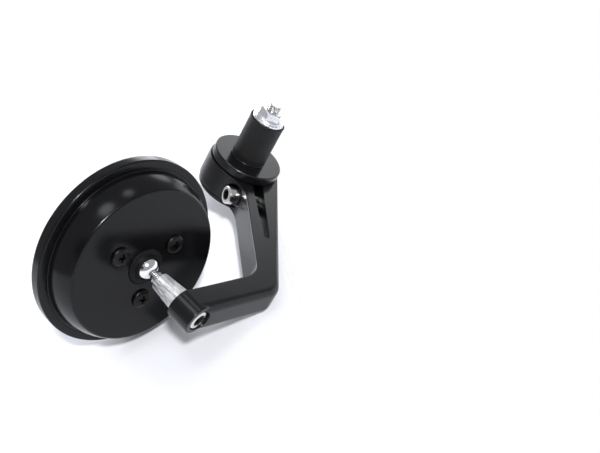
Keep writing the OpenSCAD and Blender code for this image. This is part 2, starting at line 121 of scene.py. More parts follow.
class Value:
    """A shader socket that Python's operators work on."""

    def __init__(self, graph: "Graph", socket: NodeSocket) -> None:
        """Keeps the socket and the graph that it belongs to."""
        self.graph = graph
        self.socket = socket

    def _maths(self, operation: str, *inputs: Number) -> "Value":
        """Adds one Math node on the given inputs."""
        return self.graph.add("ShaderNodeMath", {"operation": operation}, dict(enumerate(inputs)))

    def __add__(self, other: Number) -> "Value":
        """The sum."""
        return self._maths("ADD", self, other)

    def __radd__(self, other: Number) -> "Value":
        """The sum, with the number first."""
        return self._maths("ADD", other, self)

    def __sub__(self, other: Number) -> "Value":
        """The difference."""
        return self._maths("SUBTRACT", self, other)

    def __rsub__(self, other: Number) -> "Value":
        """The difference, with the number first."""
        return self._maths("SUBTRACT", other, self)

    def __mul__(self, other: Number) -> "Value":
        """The product."""
        return self._maths("MULTIPLY", self, other)

    def __rmul__(self, other: Number) -> "Value":
        """The product, with the number first."""
        return self._maths("MULTIPLY", other, self)

    def __pow__(self, other: Number) -> "Value":
        """The power."""
        return self._maths("POWER", self, other)

    def sine(self) -> "Value":
        """The sine."""
        return self._maths("SINE", self)

    def within(self, low: float, high: float) -> "Value":
        """Where the value lies from low to high, as a share that is kept from 0 to 1."""
        sockets = {"Value": self, "From Min": low, "From Max": high}
        return self.graph.add("ShaderNodeMapRange", {"clamp": True}, sockets)


class Graph:
    """Adds nodes to one node tree."""

    def __init__(self, tree: NodeTree) -> None:
        """Empties the tree that nodes are added to."""
        self.tree = tree
        tree.nodes.clear()

    def add(
        self,
        kind: str,
        settings: dict[str, Any] | None = None,
        sockets: dict[str | int, Any] | None = None,
        output: str | int = 0,
    ) -> Value:
        """Adds one node of any type.

        Args:
            kind: The node's type.
            settings: Attributes that are set first.
            sockets: Input names or numbers, with a value or a link for each.
            output: The output that the result stands for.

        Returns:
            The chosen output, wrapped for maths.
        """
        node: Node = self.tree.nodes.new(kind)
        for name, setting in (settings or {}).items():
            setattr(node, name, setting)
        for name, value in (sockets or {}).items():
            if isinstance(value, Value):
                self.tree.links.new(value.socket, node.inputs[name])
            else:
                node.inputs[name].default_value = value
        return Value(self, node.outputs[output] if node.outputs else node.inputs[0])

    def noise(self, place: Value, size_mm: float, detail: float = 2.0, rough: float = 0.5) -> Value:
        """A noise whose features are about the given size.

        Args:
            place: The coordinates, in metres.
            size_mm: The size of a feature in millimetres.
            detail: How many finer layers are added.
            rough: How strong each finer layer is.

        Returns:
            The noise, about 0.5 on average.
        """
        sockets = {"Vector": place, "Scale": 1.0 / (size_mm * MM), "Detail": detail, "Roughness": rough}
        return self.add("ShaderNodeTexNoise", {}, sockets, "Fac")

    def shade(self, colour: Colour, factor: Value) -> Value:
        """A colour whose brightness follows a factor.

        Args:
            colour: The colour at factor 1.
            factor: The brightness.

        Returns:
            The colour as a link.
        """
        settings = {"data_type": "RGBA", "blend_type": "MULTIPLY"}
        grey = self.add("ShaderNodeCombineColor", {}, {0: factor, 1: factor, 2: factor})
        node_inputs = {0: 1.0, 6: (*colour, 1.0), 7: grey}
        return self.add("ShaderNodeMix", settings, node_inputs, 2)


# Axles and what the frame says about a node


@dataclass(frozen=True)
class Gauge:
    """The circles that a CAD node's points lie on about an axle, each a radius and a height."""

    rings: tuple[tuple[float, float], ...]

    @property
    def low(self) -> float:
        """The lowest height."""
        return min(z for _, z in self.rings)

    @property
    def high(self) -> float:
        """The greatest height."""
        return max(z for _, z in self.rings)

    @property
    def inner(self) -> float:
        """The smallest radius."""
        return min(r for r, _ in self.rings)

    @property
    def outer(self) -> float:
        """The greatest radius."""
        return max(r for r, _ in self.rings)

    def reach(self, z: float) -> float:
        """The greatest radius at a height."""
        return max(r for r, level in self.rings if abs(level - z) < LEVEL_NEAR)

    def bore(self, z: float) -> float:
        """The smallest radius at a height."""
        return min(r for r, level in self.rings if abs(level - z) < LEVEL_NEAR)

    def band(self, r: float) -> tuple[float, float]:
        """The lowest and greatest height of what lies at a radius or beyond."""
        levels = [z for radius, z in self.rings if radius >= r]
        return min(levels), max(levels)

    def rim(self) -> tuple[float, float]:
        """The lowest and greatest height of the widest part."""
        return self.band(self.outer - RIM_NEAR)


@dataclass(frozen=True)
class Axle:
    """A straight axis in millimetres that round pieces are turned on."""

    origin: Vector
    along: Vector

    def matrix(self) -> Matrix:
        """The move that takes a piece from upright at zero to this axle, still in millimetres.

        Returns:
            The move.
        """
        up = self.along.normalized()
        side = Vector((0.0, 0.0, -1.0))
        side -= side.project(up)
        side = side.normalized() if side.length > NEAR else Vector((1.0, 0.0, 0.0))
        turn = Matrix((side, up.cross(side), up)).transposed().to_4x4()
        return Matrix.Translation(self.origin) @ turn

    def gauge(self, node: str) -> Gauge:
        """Measures a CAD node about this axle.

        Args:
            node: The node's name.

        Returns:
            The node's circles.
        """
        back = self.matrix().inverted()
        found = set()
        for vertex in frame["nodes"][node].data.vertices:
            x, y, z = back @ (vertex.co / MM)
            found.add((round(math.hypot(x, y), 3), round(z, 3)))
        return Gauge(tuple(sorted(found)))

    def through(self, node: str) -> "Axle":
        """The axle beside this one that runs through the middle of a node."""
        middle = middle_of(node)
        return Axle(middle - (middle - self.origin).project(self.along), self.along)

    def turned_back(self) -> "Axle":
        """The same axle, pointing the other way."""
        return Axle(self.origin, -self.along)


def middle_of(node: str) -> Vector:
    """The middle of a node's points, which lies on the axis of a round piece, in millimetres."""
    points = {tuple(round(c, 6) for c in v.co) for v in frame["nodes"][node].data.vertices}
    return sum((Vector(p) for p in points), Vector()) / len(points) / MM


def joint_axle(name: str) -> Axle:
    """The axle of one of the frame's joints."""
    joint = next(j for j in frame["joints"] if j["name"] == name)
    return Axle(Vector(joint["pos_m"]) / MM, Vector(joint["axis"]))


PLUG_AXLE = joint_axle("arm_swing")
HEAD_AXLE = joint_axle("head_spin")
STUD_AXLE = Axle(HEAD_AXLE.origin, (middle_of("cone_sleeve") - HEAD_AXLE.origin).normalized())


# Mesh work


@dataclass(frozen=True)
class Corner:
    """One corner of a turned profile, with the round that breaks it."""

    r: float
    z: float
    round: float = 0.0


def spun(
    corners: Sequence[Corner], ring: bool = False, steps: int = TURN_STEPS, segments: int = 3
) -> BMesh:
    """Turns a profile into a solid and rounds its corners.

    Args:
        corners: The profile, from the axis to the axis, or all round where the piece has a bore.
        ring: Whether the profile closes on itself.
        steps: How many steps the turn has.
        segments: How many faces a round has.

    Returns:
        The solid, upright on its axis.
    """
    work = bmesh.new()
    points = [work.verts.new((c.r, 0.0, c.z)) for c in corners]
    ends = points[1:] + points[:1] if ring else points[1:]
    edges = [work.edges.new(pair) for pair in zip(points, ends)]
    bmesh.ops.spin(
        work, geom=points + edges, cent=(0, 0, 0), axis=(0, 0, 1), dvec=(0, 0, 0),
        angle=math.tau, steps=steps, use_merge=True, use_duplicate=False,
    )
    bmesh.ops.remove_doubles(work, verts=work.verts[:], dist=NEAR)
    bmesh.ops.recalc_face_normals(work, faces=work.faces[:])
    for corner in corners:
        if corner.round:
            round_rim(work, corner, segments)
    return work


def round_rim(work: BMesh, corner: Corner, segments: int) -> None:
    """Bevels the circle of edges that one corner of a profile has become.

    Args:
        work: The turned solid.
        corner: The corner, with its round.
        segments: How many faces the round has.
    """
    def on_rim(edge: BMEdge) -> bool:
        """Whether both ends of an edge lie on the corner's circle."""
        return all(
            abs(math.hypot(v.co.x, v.co.y) - corner.r) < NEAR and abs(v.co.z - corner.z) < NEAR
            for v in edge.verts
        )

    bevel(work, [edge for edge in work.edges if on_rim(edge)], corner.round, segments)


def bevel(work: BMesh, edges: list[BMEdge], width: float, segments: int) -> None:
    """Rounds edges by a width.

    Args:
        work: The mesh.
        edges: The edges.
        width: The round's width.
        segments: How many faces it has.
    """
    bmesh.ops.bevel(
        work, geom=edges, offset=width, offset_type="OFFSET", segments=segments, profile=0.5,
        affect="EDGES", clamp_overlap=True, material=-1,
    )


def round_points(work: BMesh, verts: list[BMVert], width: float, segments: int) -> None:
    """Rounds the corners of a flat outline by a width.

    Args:
        work: The mesh.
        verts: The corners.
        width: The round's width.
        segments: How many edges it has.
    """
    bmesh.ops.bevel(
        work, geom=verts, offset=width, offset_type="OFFSET", segments=segments, profile=0.5,
        affect="VERTICES", clamp_overlap=False, material=-1,
    )


def outwards(work: BMesh) -> BMesh:
    """Turns every face of a finished solid outwards."""
    bmesh.ops.recalc_face_normals(work, faces=work.faces[:])
    return work


def cylinder(
    radius: float, low: float, high: float, sides: int = TURN_STEPS, top: float | None = None
) -> BMesh:
    """A cylinder, cone or prism between two heights.

    Args:
        radius: The radius at the low end.
        low: The low height.
        high: The high height.
        sides: How many sides it has.
        top: The radius at the high end, where it differs.

    Returns:
        The solid, upright on its axis.
    """
    work = bmesh.new()
    middle = Matrix.Translation((0.0, 0.0, (low + high) / 2))
    bmesh.ops.create_cone(
        work, cap_ends=True, segments=sides, radius1=radius, radius2=radius if top is None else top,
        depth=high - low, matrix=middle,
    )
    return work


def block(size: Sequence[float], middle: Sequence[float]) -> BMesh:
    """A box of a size about a middle.

    Args:
        size: Its size along each axis.
        middle: Its middle.

    Returns:
        The box.
    """
    work = bmesh.new()
    place = Matrix.Translation(middle) @ Matrix.Diagonal((*size, 1.0))
    bmesh.ops.create_cube(work, size=1.0, matrix=place)
    return work


def prism(plan: Sequence[Sequence[float]], low: float, high: float) -> BMesh:
    """A plan raised between two heights.

    Args:
        plan: The corners of the plan, each as x and y.
        low: The low height.
        high: The high height.

    Returns:
        The solid.
    """
    work = bmesh.new()
    face = work.faces.new([work.verts.new((x, y, low)) for x, y in plan])
    raised = bmesh.ops.extrude_face_region(work, geom=[face])["geom"]
    bmesh.ops.translate(work, verts=[v for v in raised if isinstance(v, BMVert)], vec=(0, 0, high - low))
    return outwards(work)


def sort_mesh(work: BMesh) -> None:
    """Puts points and faces in the order of their places, which can come out otherwise in another run.

    Args:
        work: The mesh.
    """
    for index, vert in enumerate(sorted(work.verts, key=lambda v: tuple(round(c, 4) for c in v.co))):
        vert.index = index
    work.verts.sort()
    for index, face in enumerate(sorted(work.faces, key=lambda f: sorted(v.index for v in f.verts))):
        face.index = index
    work.faces.sort()


def linked(name: str, data: Mesh | Light | Camera) -> Object:
    """Makes an object of its data and links it to the scene.

    Args:
        name: The object's name.
        data: A mesh, a lamp or a camera.

    Returns:
        The object.
    """
    made = bpy.data.objects.new(name, data)
    bpy.context.scene.collection.objects.link(made)
    return made


def placed(work: BMesh, name: str, axle: Axle | None = None) -> Object:
    """Makes an object of a mesh whose place is in its points.

    Args:
        work: The mesh in millimetres, upright at zero or already in the CAD's frame.
        name: The object's name.
        axle: The axle that it stands on, if it isn't in place already.

    Returns:
        The object, in metres, at the origin.
    """
    sort_mesh(work)
    move = Matrix.Scale(MM, 4) @ (axle.matrix() if axle else Matrix.Identity(4))
    bmesh.ops.transform(work, matrix=move, verts=work.verts[:])
    mesh = bpy.data.meshes.new(name)
    work.to_mesh(mesh)
    work.free()
    return linked(name, mesh)


def carve(target: Object, how: Cut, *others: Object) -> None:
    """Lets solids act on a target one by one, and deletes them.

    Args:
        target: The solid that stays.
        how: What the others do to it.
        others: The solids that act on it.
    """
    for other in others:
        step = target.modifiers.new("carve", "BOOLEAN")
        step.operation = how.value
        step.solver = "EXACT"
        step.object = other
        cut = target.evaluated_get(bpy.context.evaluated_depsgraph_get())
        settled = bpy.data.meshes.new_from_object(cut)
        target.modifiers.clear()
        spare, target.data = target.data, settled
        settled.name = target.name
        bpy.data.meshes.remove(spare)
        bpy.data.meshes.remove(other.data)


def add_shell(target: Object, shell: BMesh, axle: Axle) -> None:
    """Adds a closed shell to a piece uncut, such as a thread's ridge, whose foot lies in its core.

    Args:
        target: The piece.
        shell: The shell, upright at zero.
        axle: The axle that it stands on.
    """
    other = placed(shell, "shell", axle)
    work = bmesh.new()
    work.from_mesh(target.data)
    work.from_mesh(other.data)
    work.to_mesh(target.data)
    work.free()
    bpy.data.meshes.remove(other.data)


def slivers(work: BMesh, fewest: int = 12) -> list[BMFace]:
    """The faces that a cut leaves apart from the piece, in shells of fewer faces than a piece has.

    Args:
        work: The mesh.
        fewest: How many faces make a shell worth keeping.

    Returns:
        The faces to delete.
    """
    seen: set[BMFace] = set()
    found: list[BMFace] = []
    for start in work.faces:
        if start in seen:
            continue
        seen.add(start)
        shell = [start]
        for face in shell:
            for beside in (f for e in face.edges for f in e.link_faces if f not in seen):
                seen.add(beside)
                shell.append(beside)
        found += shell if len(shell) < fewest else []
    return found


def cleaned(target: Object) -> None:
    """Clears what a cut leaves behind: doubled points, split flat faces and slivers.

    Args:
        target: The piece that was cut.
    """
    work = bmesh.new()
    work.from_mesh(target.data)
    bmesh.ops.remove_doubles(work, verts=work.verts[:], dist=DOUBLE_M)
    bmesh.ops.dissolve_degenerate(work, edges=work.edges[:], dist=THIN_M)
    bmesh.ops.dissolve_limit(
        work, angle_limit=math.radians(FLAT_DEG), use_dissolve_boundaries=False,
        verts=work.verts[:], edges=work.edges[:],
    )
    bmesh.ops.delete(work, geom=slivers(work), context="FACES")
    outwards(work).to_mesh(target.data)
    work.free()


def soften(target: Object, width: float, angle_deg: float = 35.0) -> None:
    """Breaks the edges that a cut leaves sharp, by a width in millimetres.

    Args:
        target: The piece.
        width: How much is broken.
        angle_deg: The angle from which an edge counts as sharp.
    """
    step = target.modifiers.new("soften", "BEVEL")
    step.width = width * MM
    step.segments = 2
    step.limit_method = "ANGLE"
    step.angle_limit = math.radians(angle_deg)
    step.use_clamp_overlap = True


def smooth(target: Object, angle_deg: float = 35.0) -> None:
    """Shades a piece smooth up to an angle, with its flat faces kept flat.

    Args:
        target: The piece.
        angle_deg: The angle from which an edge stays sharp.
    """
    target.data.shade_smooth()
    target.data.set_sharp_from_angle(angle=math.radians(angle_deg))
    step = target.modifiers.new("flats", "WEIGHTED_NORMAL")
    step.keep_sharp = True
    step.weight = 80


def helix(
    work: BMesh, radius: float, pitch: float, low: float, high: float, depth: float,
    tip: float | None = None,
) -> None:
    """Adds a thread's ridge round a core.

    Args:
        work: The mesh that the ridge is added to.
        radius: The radius of the crest.
        pitch: The rise in one turn.
        low: The height where the ridge starts.
        high: The height where it ends.
        depth: How far the crest stands out of the core.
        tip: The height of a chamfered tip that the ridge runs out in, if it reaches one.
    """
    steps = 32
    turns = (high - low) / pitch
    foot_r, foot_half = radius - depth * 1.15, pitch * 0.44
    crest_half = pitch * 0.06
    tip_gap, tip_r = 0.02, radius - depth * 0.9
    shape = [
        (foot_r, low - foot_half), (radius, low - crest_half),
        (radius, low + crest_half), (foot_r, low + foot_half),
    ]
    verts = [work.verts.new((r, 0.0, z)) for r, z in shape]
    edges = [work.edges.new(pair) for pair in zip(verts, verts[1:] + verts[:1])]
    before = set(work.edges) - set(edges)
    bmesh.ops.spin(
        work, geom=verts + edges, cent=(0, 0, 0), axis=(0, 0, 1), dvec=(0, 0, pitch / steps),
        angle=math.tau * turns, steps=round(turns * steps), use_merge=False, use_duplicate=False,
    )
    ends = [e for e in work.edges if e not in before and e.is_boundary]
    bmesh.ops.holes_fill(work, edges=ends, sides=4)
    ridge = {v for e in work.edges if e not in before for v in e.verts}
    for vert in ridge if tip is not None else ():
        vert.co.z = min(vert.co.z, tip - tip_gap)
        away = math.hypot(vert.co.x, vert.co.y)
        limit = min(away, tip_r + (tip - vert.co.z))
        vert.co.xy *= limit / away
    outwards(work)


# Finishes


@dataclass(frozen=True)
class Look:
    """What a finish lays over a surface."""

    colour: Value
    roughness: Value
    height: Value
    depth_mm: float


@dataclass(frozen=True)
class Finish:
    """What all finishes share: a name, a slot, and the levels that stay the same all over."""

    name: str
    slot: Slot
    colour: Colour
    roughness: float
    metallic: float = 0.0
    specular: float = 0.5
    coat: float = 0.0

    def look(self, graph: Graph, place: Value) -> Look:
        """Lays a fine even grain.

        Args:
            graph: The material's graph.
            place: Object coordinates, centred on the piece's axle.

        Returns:
            The colour, roughness and height over the surface.
        """
        grain = graph.noise(place, 0.5, 3.0)
        colour = graph.shade(self.colour, 0.85 + 0.3 * grain)
        return Look(colour, self.roughness + 0.1 * (grain - 0.5), grain, 0.004)

    def material(self, axle: Axle | None = None) -> Material:
        """Builds the material.

        Args:
            axle: The axle that turned marks run round.

        Returns:
            The material.
        """
        made = bpy.data.materials.new(self.name)
        made.use_nodes = True
        graph = Graph(made.node_tree)
        place = graph.add("ShaderNodeTexCoord", output="Object")
        if axle is not None:
            matrix = axle.matrix()
            where = {"Vector": place, "Location": matrix.translation * MM, "Rotation": matrix.to_euler()}
            place = graph.add("ShaderNodeMapping", {"vector_type": "TEXTURE"}, where)
        look = self.look(graph, place)
        normal = graph.add(
            "ShaderNodeBump", {}, {"Height": look.height, "Distance": look.depth_mm * MM, "Strength": 1.0}
        )
        surface = graph.add("ShaderNodeBsdfPrincipled", {}, {
            "Base Color": look.colour, "Roughness": look.roughness, "Normal": normal,
            "Metallic": self.metallic, "Specular IOR Level": self.specular,
            "Coat Weight": self.coat, "Coat Roughness": 0.12,
        })
        graph.add("ShaderNodeOutputMaterial", {}, {"Surface": surface})
        return made


@dataclass(frozen=True)
class Anodised(Finish):
    """Blasted and anodised aluminium: a fine even grain, and handling marks that change its gloss."""

    grain_mm: float = 0.35
    grain_depth_mm: float = 0.003
    marks: float = 0.07

    def look(self, graph: Graph, place: Value) -> Look:
        """Lays the blasted grain and the handling marks.

        Args:
            graph: The material's graph.
            place: Object coordinates, centred on the piece's axle.

        Returns:
            The colour, roughness and height over the surface.
        """
        grain = graph.noise(place, self.grain_mm, 3.0, 0.6)
        patches = graph.noise(place, 14.0, 4.0, 0.55)
        rough = self.roughness + self.marks * (patches - 0.5) + 0.06 * (grain - 0.5)
        return Look(graph.shade(self.colour, 0.8 + 0.4 * patches), rough, grain, self.grain_depth_mm)


@dataclass(frozen=True)
class Turned(Finish):
    """Metal straight from the lathe: fine rings round its axle."""

    ring_mm: float = 0.32
    ring_depth_mm: float = 0.004

    def look(self, graph: Graph, place: Value) -> Look:
        """Lays rings along and across the axle, broken up a little as real tool marks are.

        Args:
            graph: The material's graph.
            place: Object coordinates, centred on the piece's axle.

        Returns:
            The colour, roughness and height over the surface.
        """
        x, y, z = (graph.add("ShaderNodeSeparateXYZ", {}, {0: place}, i) for i in range(3))
        radial = (x * x + y * y) ** 0.5
        drift = graph.noise(place, 2.5, 2.0)
        phase = (radial + z) * (math.tau / (self.ring_mm * MM)) + drift * 2.0
        rings = 0.5 + 0.5 * phase.sine()
        fine = graph.noise(place, 0.25, 2.0)
        rough = self.roughness + 0.06 * (drift - 0.5) + 0.05 * (rings - 0.5)
        colour = graph.shade(self.colour, 0.92 + 0.08 * rings)
        return Look(colour, rough, rings + 0.3 * fine, self.ring_depth_mm)


@dataclass(frozen=True)
class SheenStreaked(Finish):
    """Turned metal with painted reflection streaks along its axle and a few thin darker lines; the streaks
    also bump it and vary its roughness.
    """

    stretch: float = 14.0
    streak_mm: float = 0.45

    def look(self, graph: Graph, place: Value) -> Look:
        """Lays painted reflection streaks that run the way of the axle, and the thin darker lines.

        Args:
            graph: The material's graph.
            place: Object coordinates, centred on the piece's axle.

        Returns:
            The colour, roughness and height over the surface.
        """
        squeeze = {0: place, 1: (1.0, 1.0, 1.0 / self.stretch)}
        along = graph.add("ShaderNodeVectorMath", {"operation": "MULTIPLY"}, squeeze)
        streaks = graph.noise(along, self.streak_mm, 4.0, 0.65).within(0.4, 0.6)
        dark_lines = graph.noise(along, 1.1, 1.0).within(0.6, 0.66)
        # The colour follows the streaks: painted lengthwise reflection bands, with the thin lines darker
        colour = graph.shade(self.colour, 0.6 + 0.5 * streaks - 0.35 * dark_lines)
        return Look(colour, self.roughness + 0.1 * (streaks - 0.5), streaks - 0.6 * dark_lines, 0.012)


@dataclass(frozen=True)
class Plated(Finish):
    """Zinc plate over pressed steel: bright, a little cloudy, softly dimpled."""

    def look(self, graph: Graph, place: Value) -> Look:
        """Lays cloudy patches and dimples.

        Args:
            graph: The material's graph.
            place: Object coordinates, centred on the piece's axle.

        Returns:
            The colour, roughness and height over the surface.
        """
        cloud = graph.noise(place, 1.6, 4.0, 0.6)
        dimple = graph.noise(place, 0.4, 2.0)
        rough = self.roughness + 0.16 * (cloud - 0.5)
        return Look(graph.shade(self.colour, 0.86 + 0.2 * cloud), rough, cloud + 0.4 * dimple, 0.012)


@dataclass(frozen=True)
class Rubber(Finish):
    """Moulded rubber: matt, with a soft skin, pale dust and fine pits."""

    def look(self, graph: Graph, place: Value) -> Look:
        """Lays the moulded skin, the pits and the dust.

        Args:
            graph: The material's graph.
            place: Object coordinates, centred on the piece's axle.

        Returns:
            The colour, roughness and height over the surface.
        """
        skin = graph.noise(place, 0.6, 4.0, 0.65)
        dust = graph.noise(place, 4.0, 5.0, 0.7).within(0.5, 0.8)
        pits = graph.noise(place, 0.25, 1.0).within(0.28, 0.42)
        colour = graph.shade(self.colour, 0.75 + 0.3 * skin + 0.45 * dust)
        return Look(colour, self.roughness + 0.12 * dust, skin + 0.6 * pits, 0.02)


@dataclass(frozen=True)
class Silvered(Finish):
    """Mirror glass: bright, with a trace of haze and a few specks."""

    def look(self, graph: Graph, place: Value) -> Look:
        """Lays the haze and the specks.

        Args:
            graph: The material's graph.
            place: Object coordinates, centred on the piece's axle.

        Returns:
            The colour, roughness and height over the surface.
        """
        haze = graph.noise(place, 22.0, 3.0)
        specks = graph.noise(place, 0.5, 1.0).within(0.72, 0.8)
        rough = self.roughness + 0.012 * haze + 0.15 * specks
        return Look(graph.shade(self.colour, 1.0 - 0.08 * specks), rough, haze, 0.0002)


DEEP_BLACK: Colour = (0.0045, 0.0046, 0.005)
ARM_BLACK = Anodised("arm_black", Slot.ANODISED, DEEP_BLACK, 0.25, specular=0.3)
HUB_BLACK = Anodised("hub_black", Slot.ANODISED, DEEP_BLACK, 0.22, specular=0.32, grain_mm=0.3)
SPIGOT_BLACK = Anodised("spigot_black", Slot.ANODISED, DEEP_BLACK, 0.6, specular=0.25, grain_mm=0.3)
HEAD_BLACK = Anodised(
    "head_black", Slot.ANODISED, (0.0035, 0.0036, 0.004), 0.17, specular=0.22,
    grain_depth_mm=0.0012, marks=0.05,
)
BLACK_NYLON = Anodised(
    "black_nylon", Slot.NYLON, (0.003, 0.003, 0.0032), 0.5, specular=0.14,
    grain_mm=0.6, grain_depth_mm=0.006,
)
BLACK_OXIDE = Anodised(
    "black_oxide", Slot.BLACK_STEEL, (0.022, 0.0215, 0.021), 0.34, metallic=1.0, grain_depth_mm=0.004,
)
PLUG_RUBBER = Rubber("plug_rubber", Slot.RUBBER, (0.008, 0.008, 0.0083), 0.62, specular=0.3)
# The flat washer's zinc at half the nut's brightness, which paints the shade that falls on it in the pocket
WASHER_PAINTED_SHADE = Plated("washer_painted_shade", Slot.ZINC, (0.42, 0.42, 0.43), 0.26, metallic=1.0)
ZINC_PLATE = Plated("zinc_plate", Slot.ZINC, (0.86, 0.87, 0.89), 0.3, metallic=1.0)
# Near-black steel that paints the shade inside a screw's key socket
SOCKET_PAINTED_SHADE = Plated("socket_painted_shade", Slot.STEEL, (0.035, 0.034, 0.033), 0.42, metallic=1.0)
PRESSED_STEEL = Plated("pressed_steel", Slot.STEEL, (0.55, 0.55, 0.54), 0.35, metallic=1.0)
# The spring washer's steel, near black, which paints the shade between the screw head and the flat washer
SPRING_PAINTED_SHADE = Plated("spring_painted_shade", Slot.STEEL, (0.06, 0.06, 0.062), 0.35, metallic=1.0)
BRIGHT_STEEL = Turned(
    "bright_steel", Slot.STEEL, (0.74, 0.73, 0.71), 0.16, metallic=1.0, ring_depth_mm=0.0015,
)
CHROME_PLATE = Turned(
    "chrome_plate", Slot.CHROME, (0.82, 0.82, 0.83), 0.06, metallic=1.0, ring_depth_mm=0.0004,
)
# The sleeve: its lengthwise streaks are painted reflections
TURNED_METAL = SheenStreaked("turned_metal", Slot.TURNED, (0.93, 0.93, 0.94), 0.55, metallic=1.0)
MIRROR_FACE = Silvered("mirror_face", Slot.GLASS, (0.9, 0.915, 0.92), 0.012, metallic=1.0)


def dress(made: Object, finish: Finish, body: Body, *nodes: str, axle: Axle | None = None) -> Object:
    """Gives a new piece its finish and its body, and hides the CAD nodes that it stands for.

    Args:
        made: The piece.
        finish: Its finish.
        body: The body that it rides on.
        nodes: The CAD nodes that it replaces.
        axle: The axle that turned marks run round.

    Returns:
        The piece.
    """
    made.data.materials.clear()
    made.data.materials.append(finish.material(axle))
    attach(made, body.value)
    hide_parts(*nodes)
    LOG.info("%s: %d faces, on %s", made.name, len(made.data.polygons), body.value)
    return made


def turned_piece(
    work: BMesh, node: str, finish: Finish, body: Body, axle: Axle, angle_deg: float = 35.0
) -> Object:
    """Makes the piece of one CAD node from a mesh that needs no cut.

    Args:
        work: The mesh, upright at zero.
        node: The CAD node that it stands for.
        finish: Its finish.
        body: The body that it rides on.
        axle: The axle that it stands on.
        angle_deg: The angle up to which it is shaded smooth.

    Returns:
        The dressed piece.
    """
    made = placed(work, f"{node}_piece", axle)
    smooth(made, angle_deg)
    return dress(made, finish, body, node, axle=axle)


def coat_zone(
    made: Object, finish: Finish, axle: Axle, radius: float, low: float, high: float
) -> None:
    """Gives the faces near an axle, between two heights, a finish of their own.

    Args:
        made: The piece.
        finish: The finish of that zone, such as the near-black that paints the shade inside a socket.
        axle: The axle that the zone lies on.
        radius: The zone's radius.
        low: The height where it starts.
        high: The height where it ends, with a little more taken in for the end's own faces.
    """
    more = 0.05
    made.data.materials.append(finish.material(axle))
    back = axle.matrix().inverted()
    for face in made.data.polygons:
        x, y, z = back @ (face.center / MM)
        if math.hypot(x, y) < radius and low < z < high + more:
            face.material_index = len(made.data.materials) - 1


def recoat(node: str, finish: Finish, axle: Axle) -> None:
    """Gives a CAD node that is shown as it is a better material.

    Args:
        node: The node's name.
        finish: Its finish.
        axle: The axle that turned marks run round.
    """
    data = frame["nodes"][node].data
    material = finish.material(axle)
    for index in range(len(data.materials)):
        data.materials[index] = material
    if not len(data.materials):
        data.materials.append(material)
    LOG.info("%s: CAD mesh with %s", node, finish.name)


# Fasteners


@dataclass(frozen=True)
class CapScrew:
    """A socket-head cap screw, measured from its CAD node. Its axle points from the head to the tip.

    The shares are of the head's width for the edge, of its height for the key's depth, of the key
    hole's radius for the mouth, and of the pitch for the thread.
    """

    node: str
    axle: Axle
    key_w: float
    pitch: float
    body: Body
    thread_from: float = 0.0
    knurls: int = 36
    groove_share: float = 0.975
    knurl_end: float = 0.4
    key_share: float = 0.6
    mouth_share: float = 1.2
    mouth_foot_share: float = 0.84
    mouth_depth_share: float = 0.22
    edge_share: float = 0.07
    seat_round: float = 0.15
    tip_round: float = 0.1
    thread_depth_share: float = 0.6
    run_out_share: float = 0.3
    crest_inset: float = 0.01

    def build(self) -> None:
        """Builds the screw.

        The thread's ridge goes on after the cuts, which could lose it.
        """
        gauge = self.axle.gauge(self.node)
        head_r, face, seat = gauge.outer, gauge.low, gauge.rim()[1]
        shank_r = max(r for r, z in gauge.rings if z > seat + 0.5)
        depth = self.thread_depth_share * self.pitch
        core_r = shank_r - depth
        edge = self.edge_share * 2 * head_r
        work = spun([
            Corner(0, face), Corner(head_r, face, edge), Corner(head_r, seat, self.seat_round),
            Corner(core_r, seat), Corner(core_r, gauge.high, self.tip_round), Corner(0, gauge.high),
        ], steps=2 * self.knurls)
        self._knurl(work, head_r, face + 2 * edge, seat - self.knurl_end)
        made = placed(work, f"{self.node}_piece", self.axle)
        floor = self._socket(made, face, seat)
        cleaned(made)
        start = self.thread_from or seat + self.pitch
        end = gauge.high + self.pitch * self.run_out_share
        ridge = bmesh.new()
        helix(ridge, shank_r - self.crest_inset, self.pitch, start, end, depth, gauge.high)
        add_shell(made, ridge, self.axle)
        smooth(made, 30)
        dress(made, BRIGHT_STEEL, self.body, self.node, axle=self.axle)
        # The socket's walls and floor get a near-black colour: painted shade in the recess
        coat_zone(made, SOCKET_PAINTED_SHADE, self.axle, self.mouth_share * self._socket_r(), face + 0.05, floor)

    def _socket_r(self) -> float:
        """The radius at the corners of the hexagon that the key enters."""
        return self.key_w / 2 / math.cos(math.pi / 6)

    def _socket(self, made: Object, face: float, seat: float) -> float:
        """Cuts the hexagon and its coned mouth, and gives the height of the floor.

        Args:
            made: The screw.
            face: The height of the head's face.
            seat: The height of its seat.

        Returns:
            The height of the hexagon's floor.
        """
        socket_r = self._socket_r()
        floor = face + self.key_share * (seat - face)
        hexagon = cylinder(socket_r, face - PAST, floor, sides=6)
        mouth = cylinder(
            self.mouth_share * socket_r, face - SKIM, face + self.mouth_depth_share * socket_r,
            top=self.mouth_foot_share * socket_r,
        )
        carve(made, Cut.REMOVE, placed(hexagon, "socket", self.axle), placed(mouth, "mouth", self.axle))
        return floor

    def _knurl(self, work: BMesh, head_r: float, low: float, high: float) -> None:
        """Presses fine grooves into the head's side.

        Args:
            work: The turned screw.
            head_r: The head's radius.
            low: Where the grooves start.
            high: Where they end.
        """
        side = [
            e for e in work.edges
            if all(abs(math.hypot(v.co.x, v.co.y) - head_r) < NEAR for v in e.verts)
            and abs(e.verts[0].co.z - e.verts[1].co.z) > 1
        ]
        cut = bmesh.ops.subdivide_edges(work, edges=side, cuts=2, use_grid_fill=True)["geom_inner"]
        band = [v for v in cut if isinstance(v, BMVert)]
        middle = (low + high) / 2
        for vert in band:
            vert.co.z = high if vert.co.z > middle else low
        step = math.tau / (2 * self.knurls)
        grooves = [v for v in band if round(math.atan2(v.co.y, v.co.x) / step) % 2]
        bmesh.ops.scale(work, vec=(self.groove_share, self.groove_share, 1.0), verts=grooves)


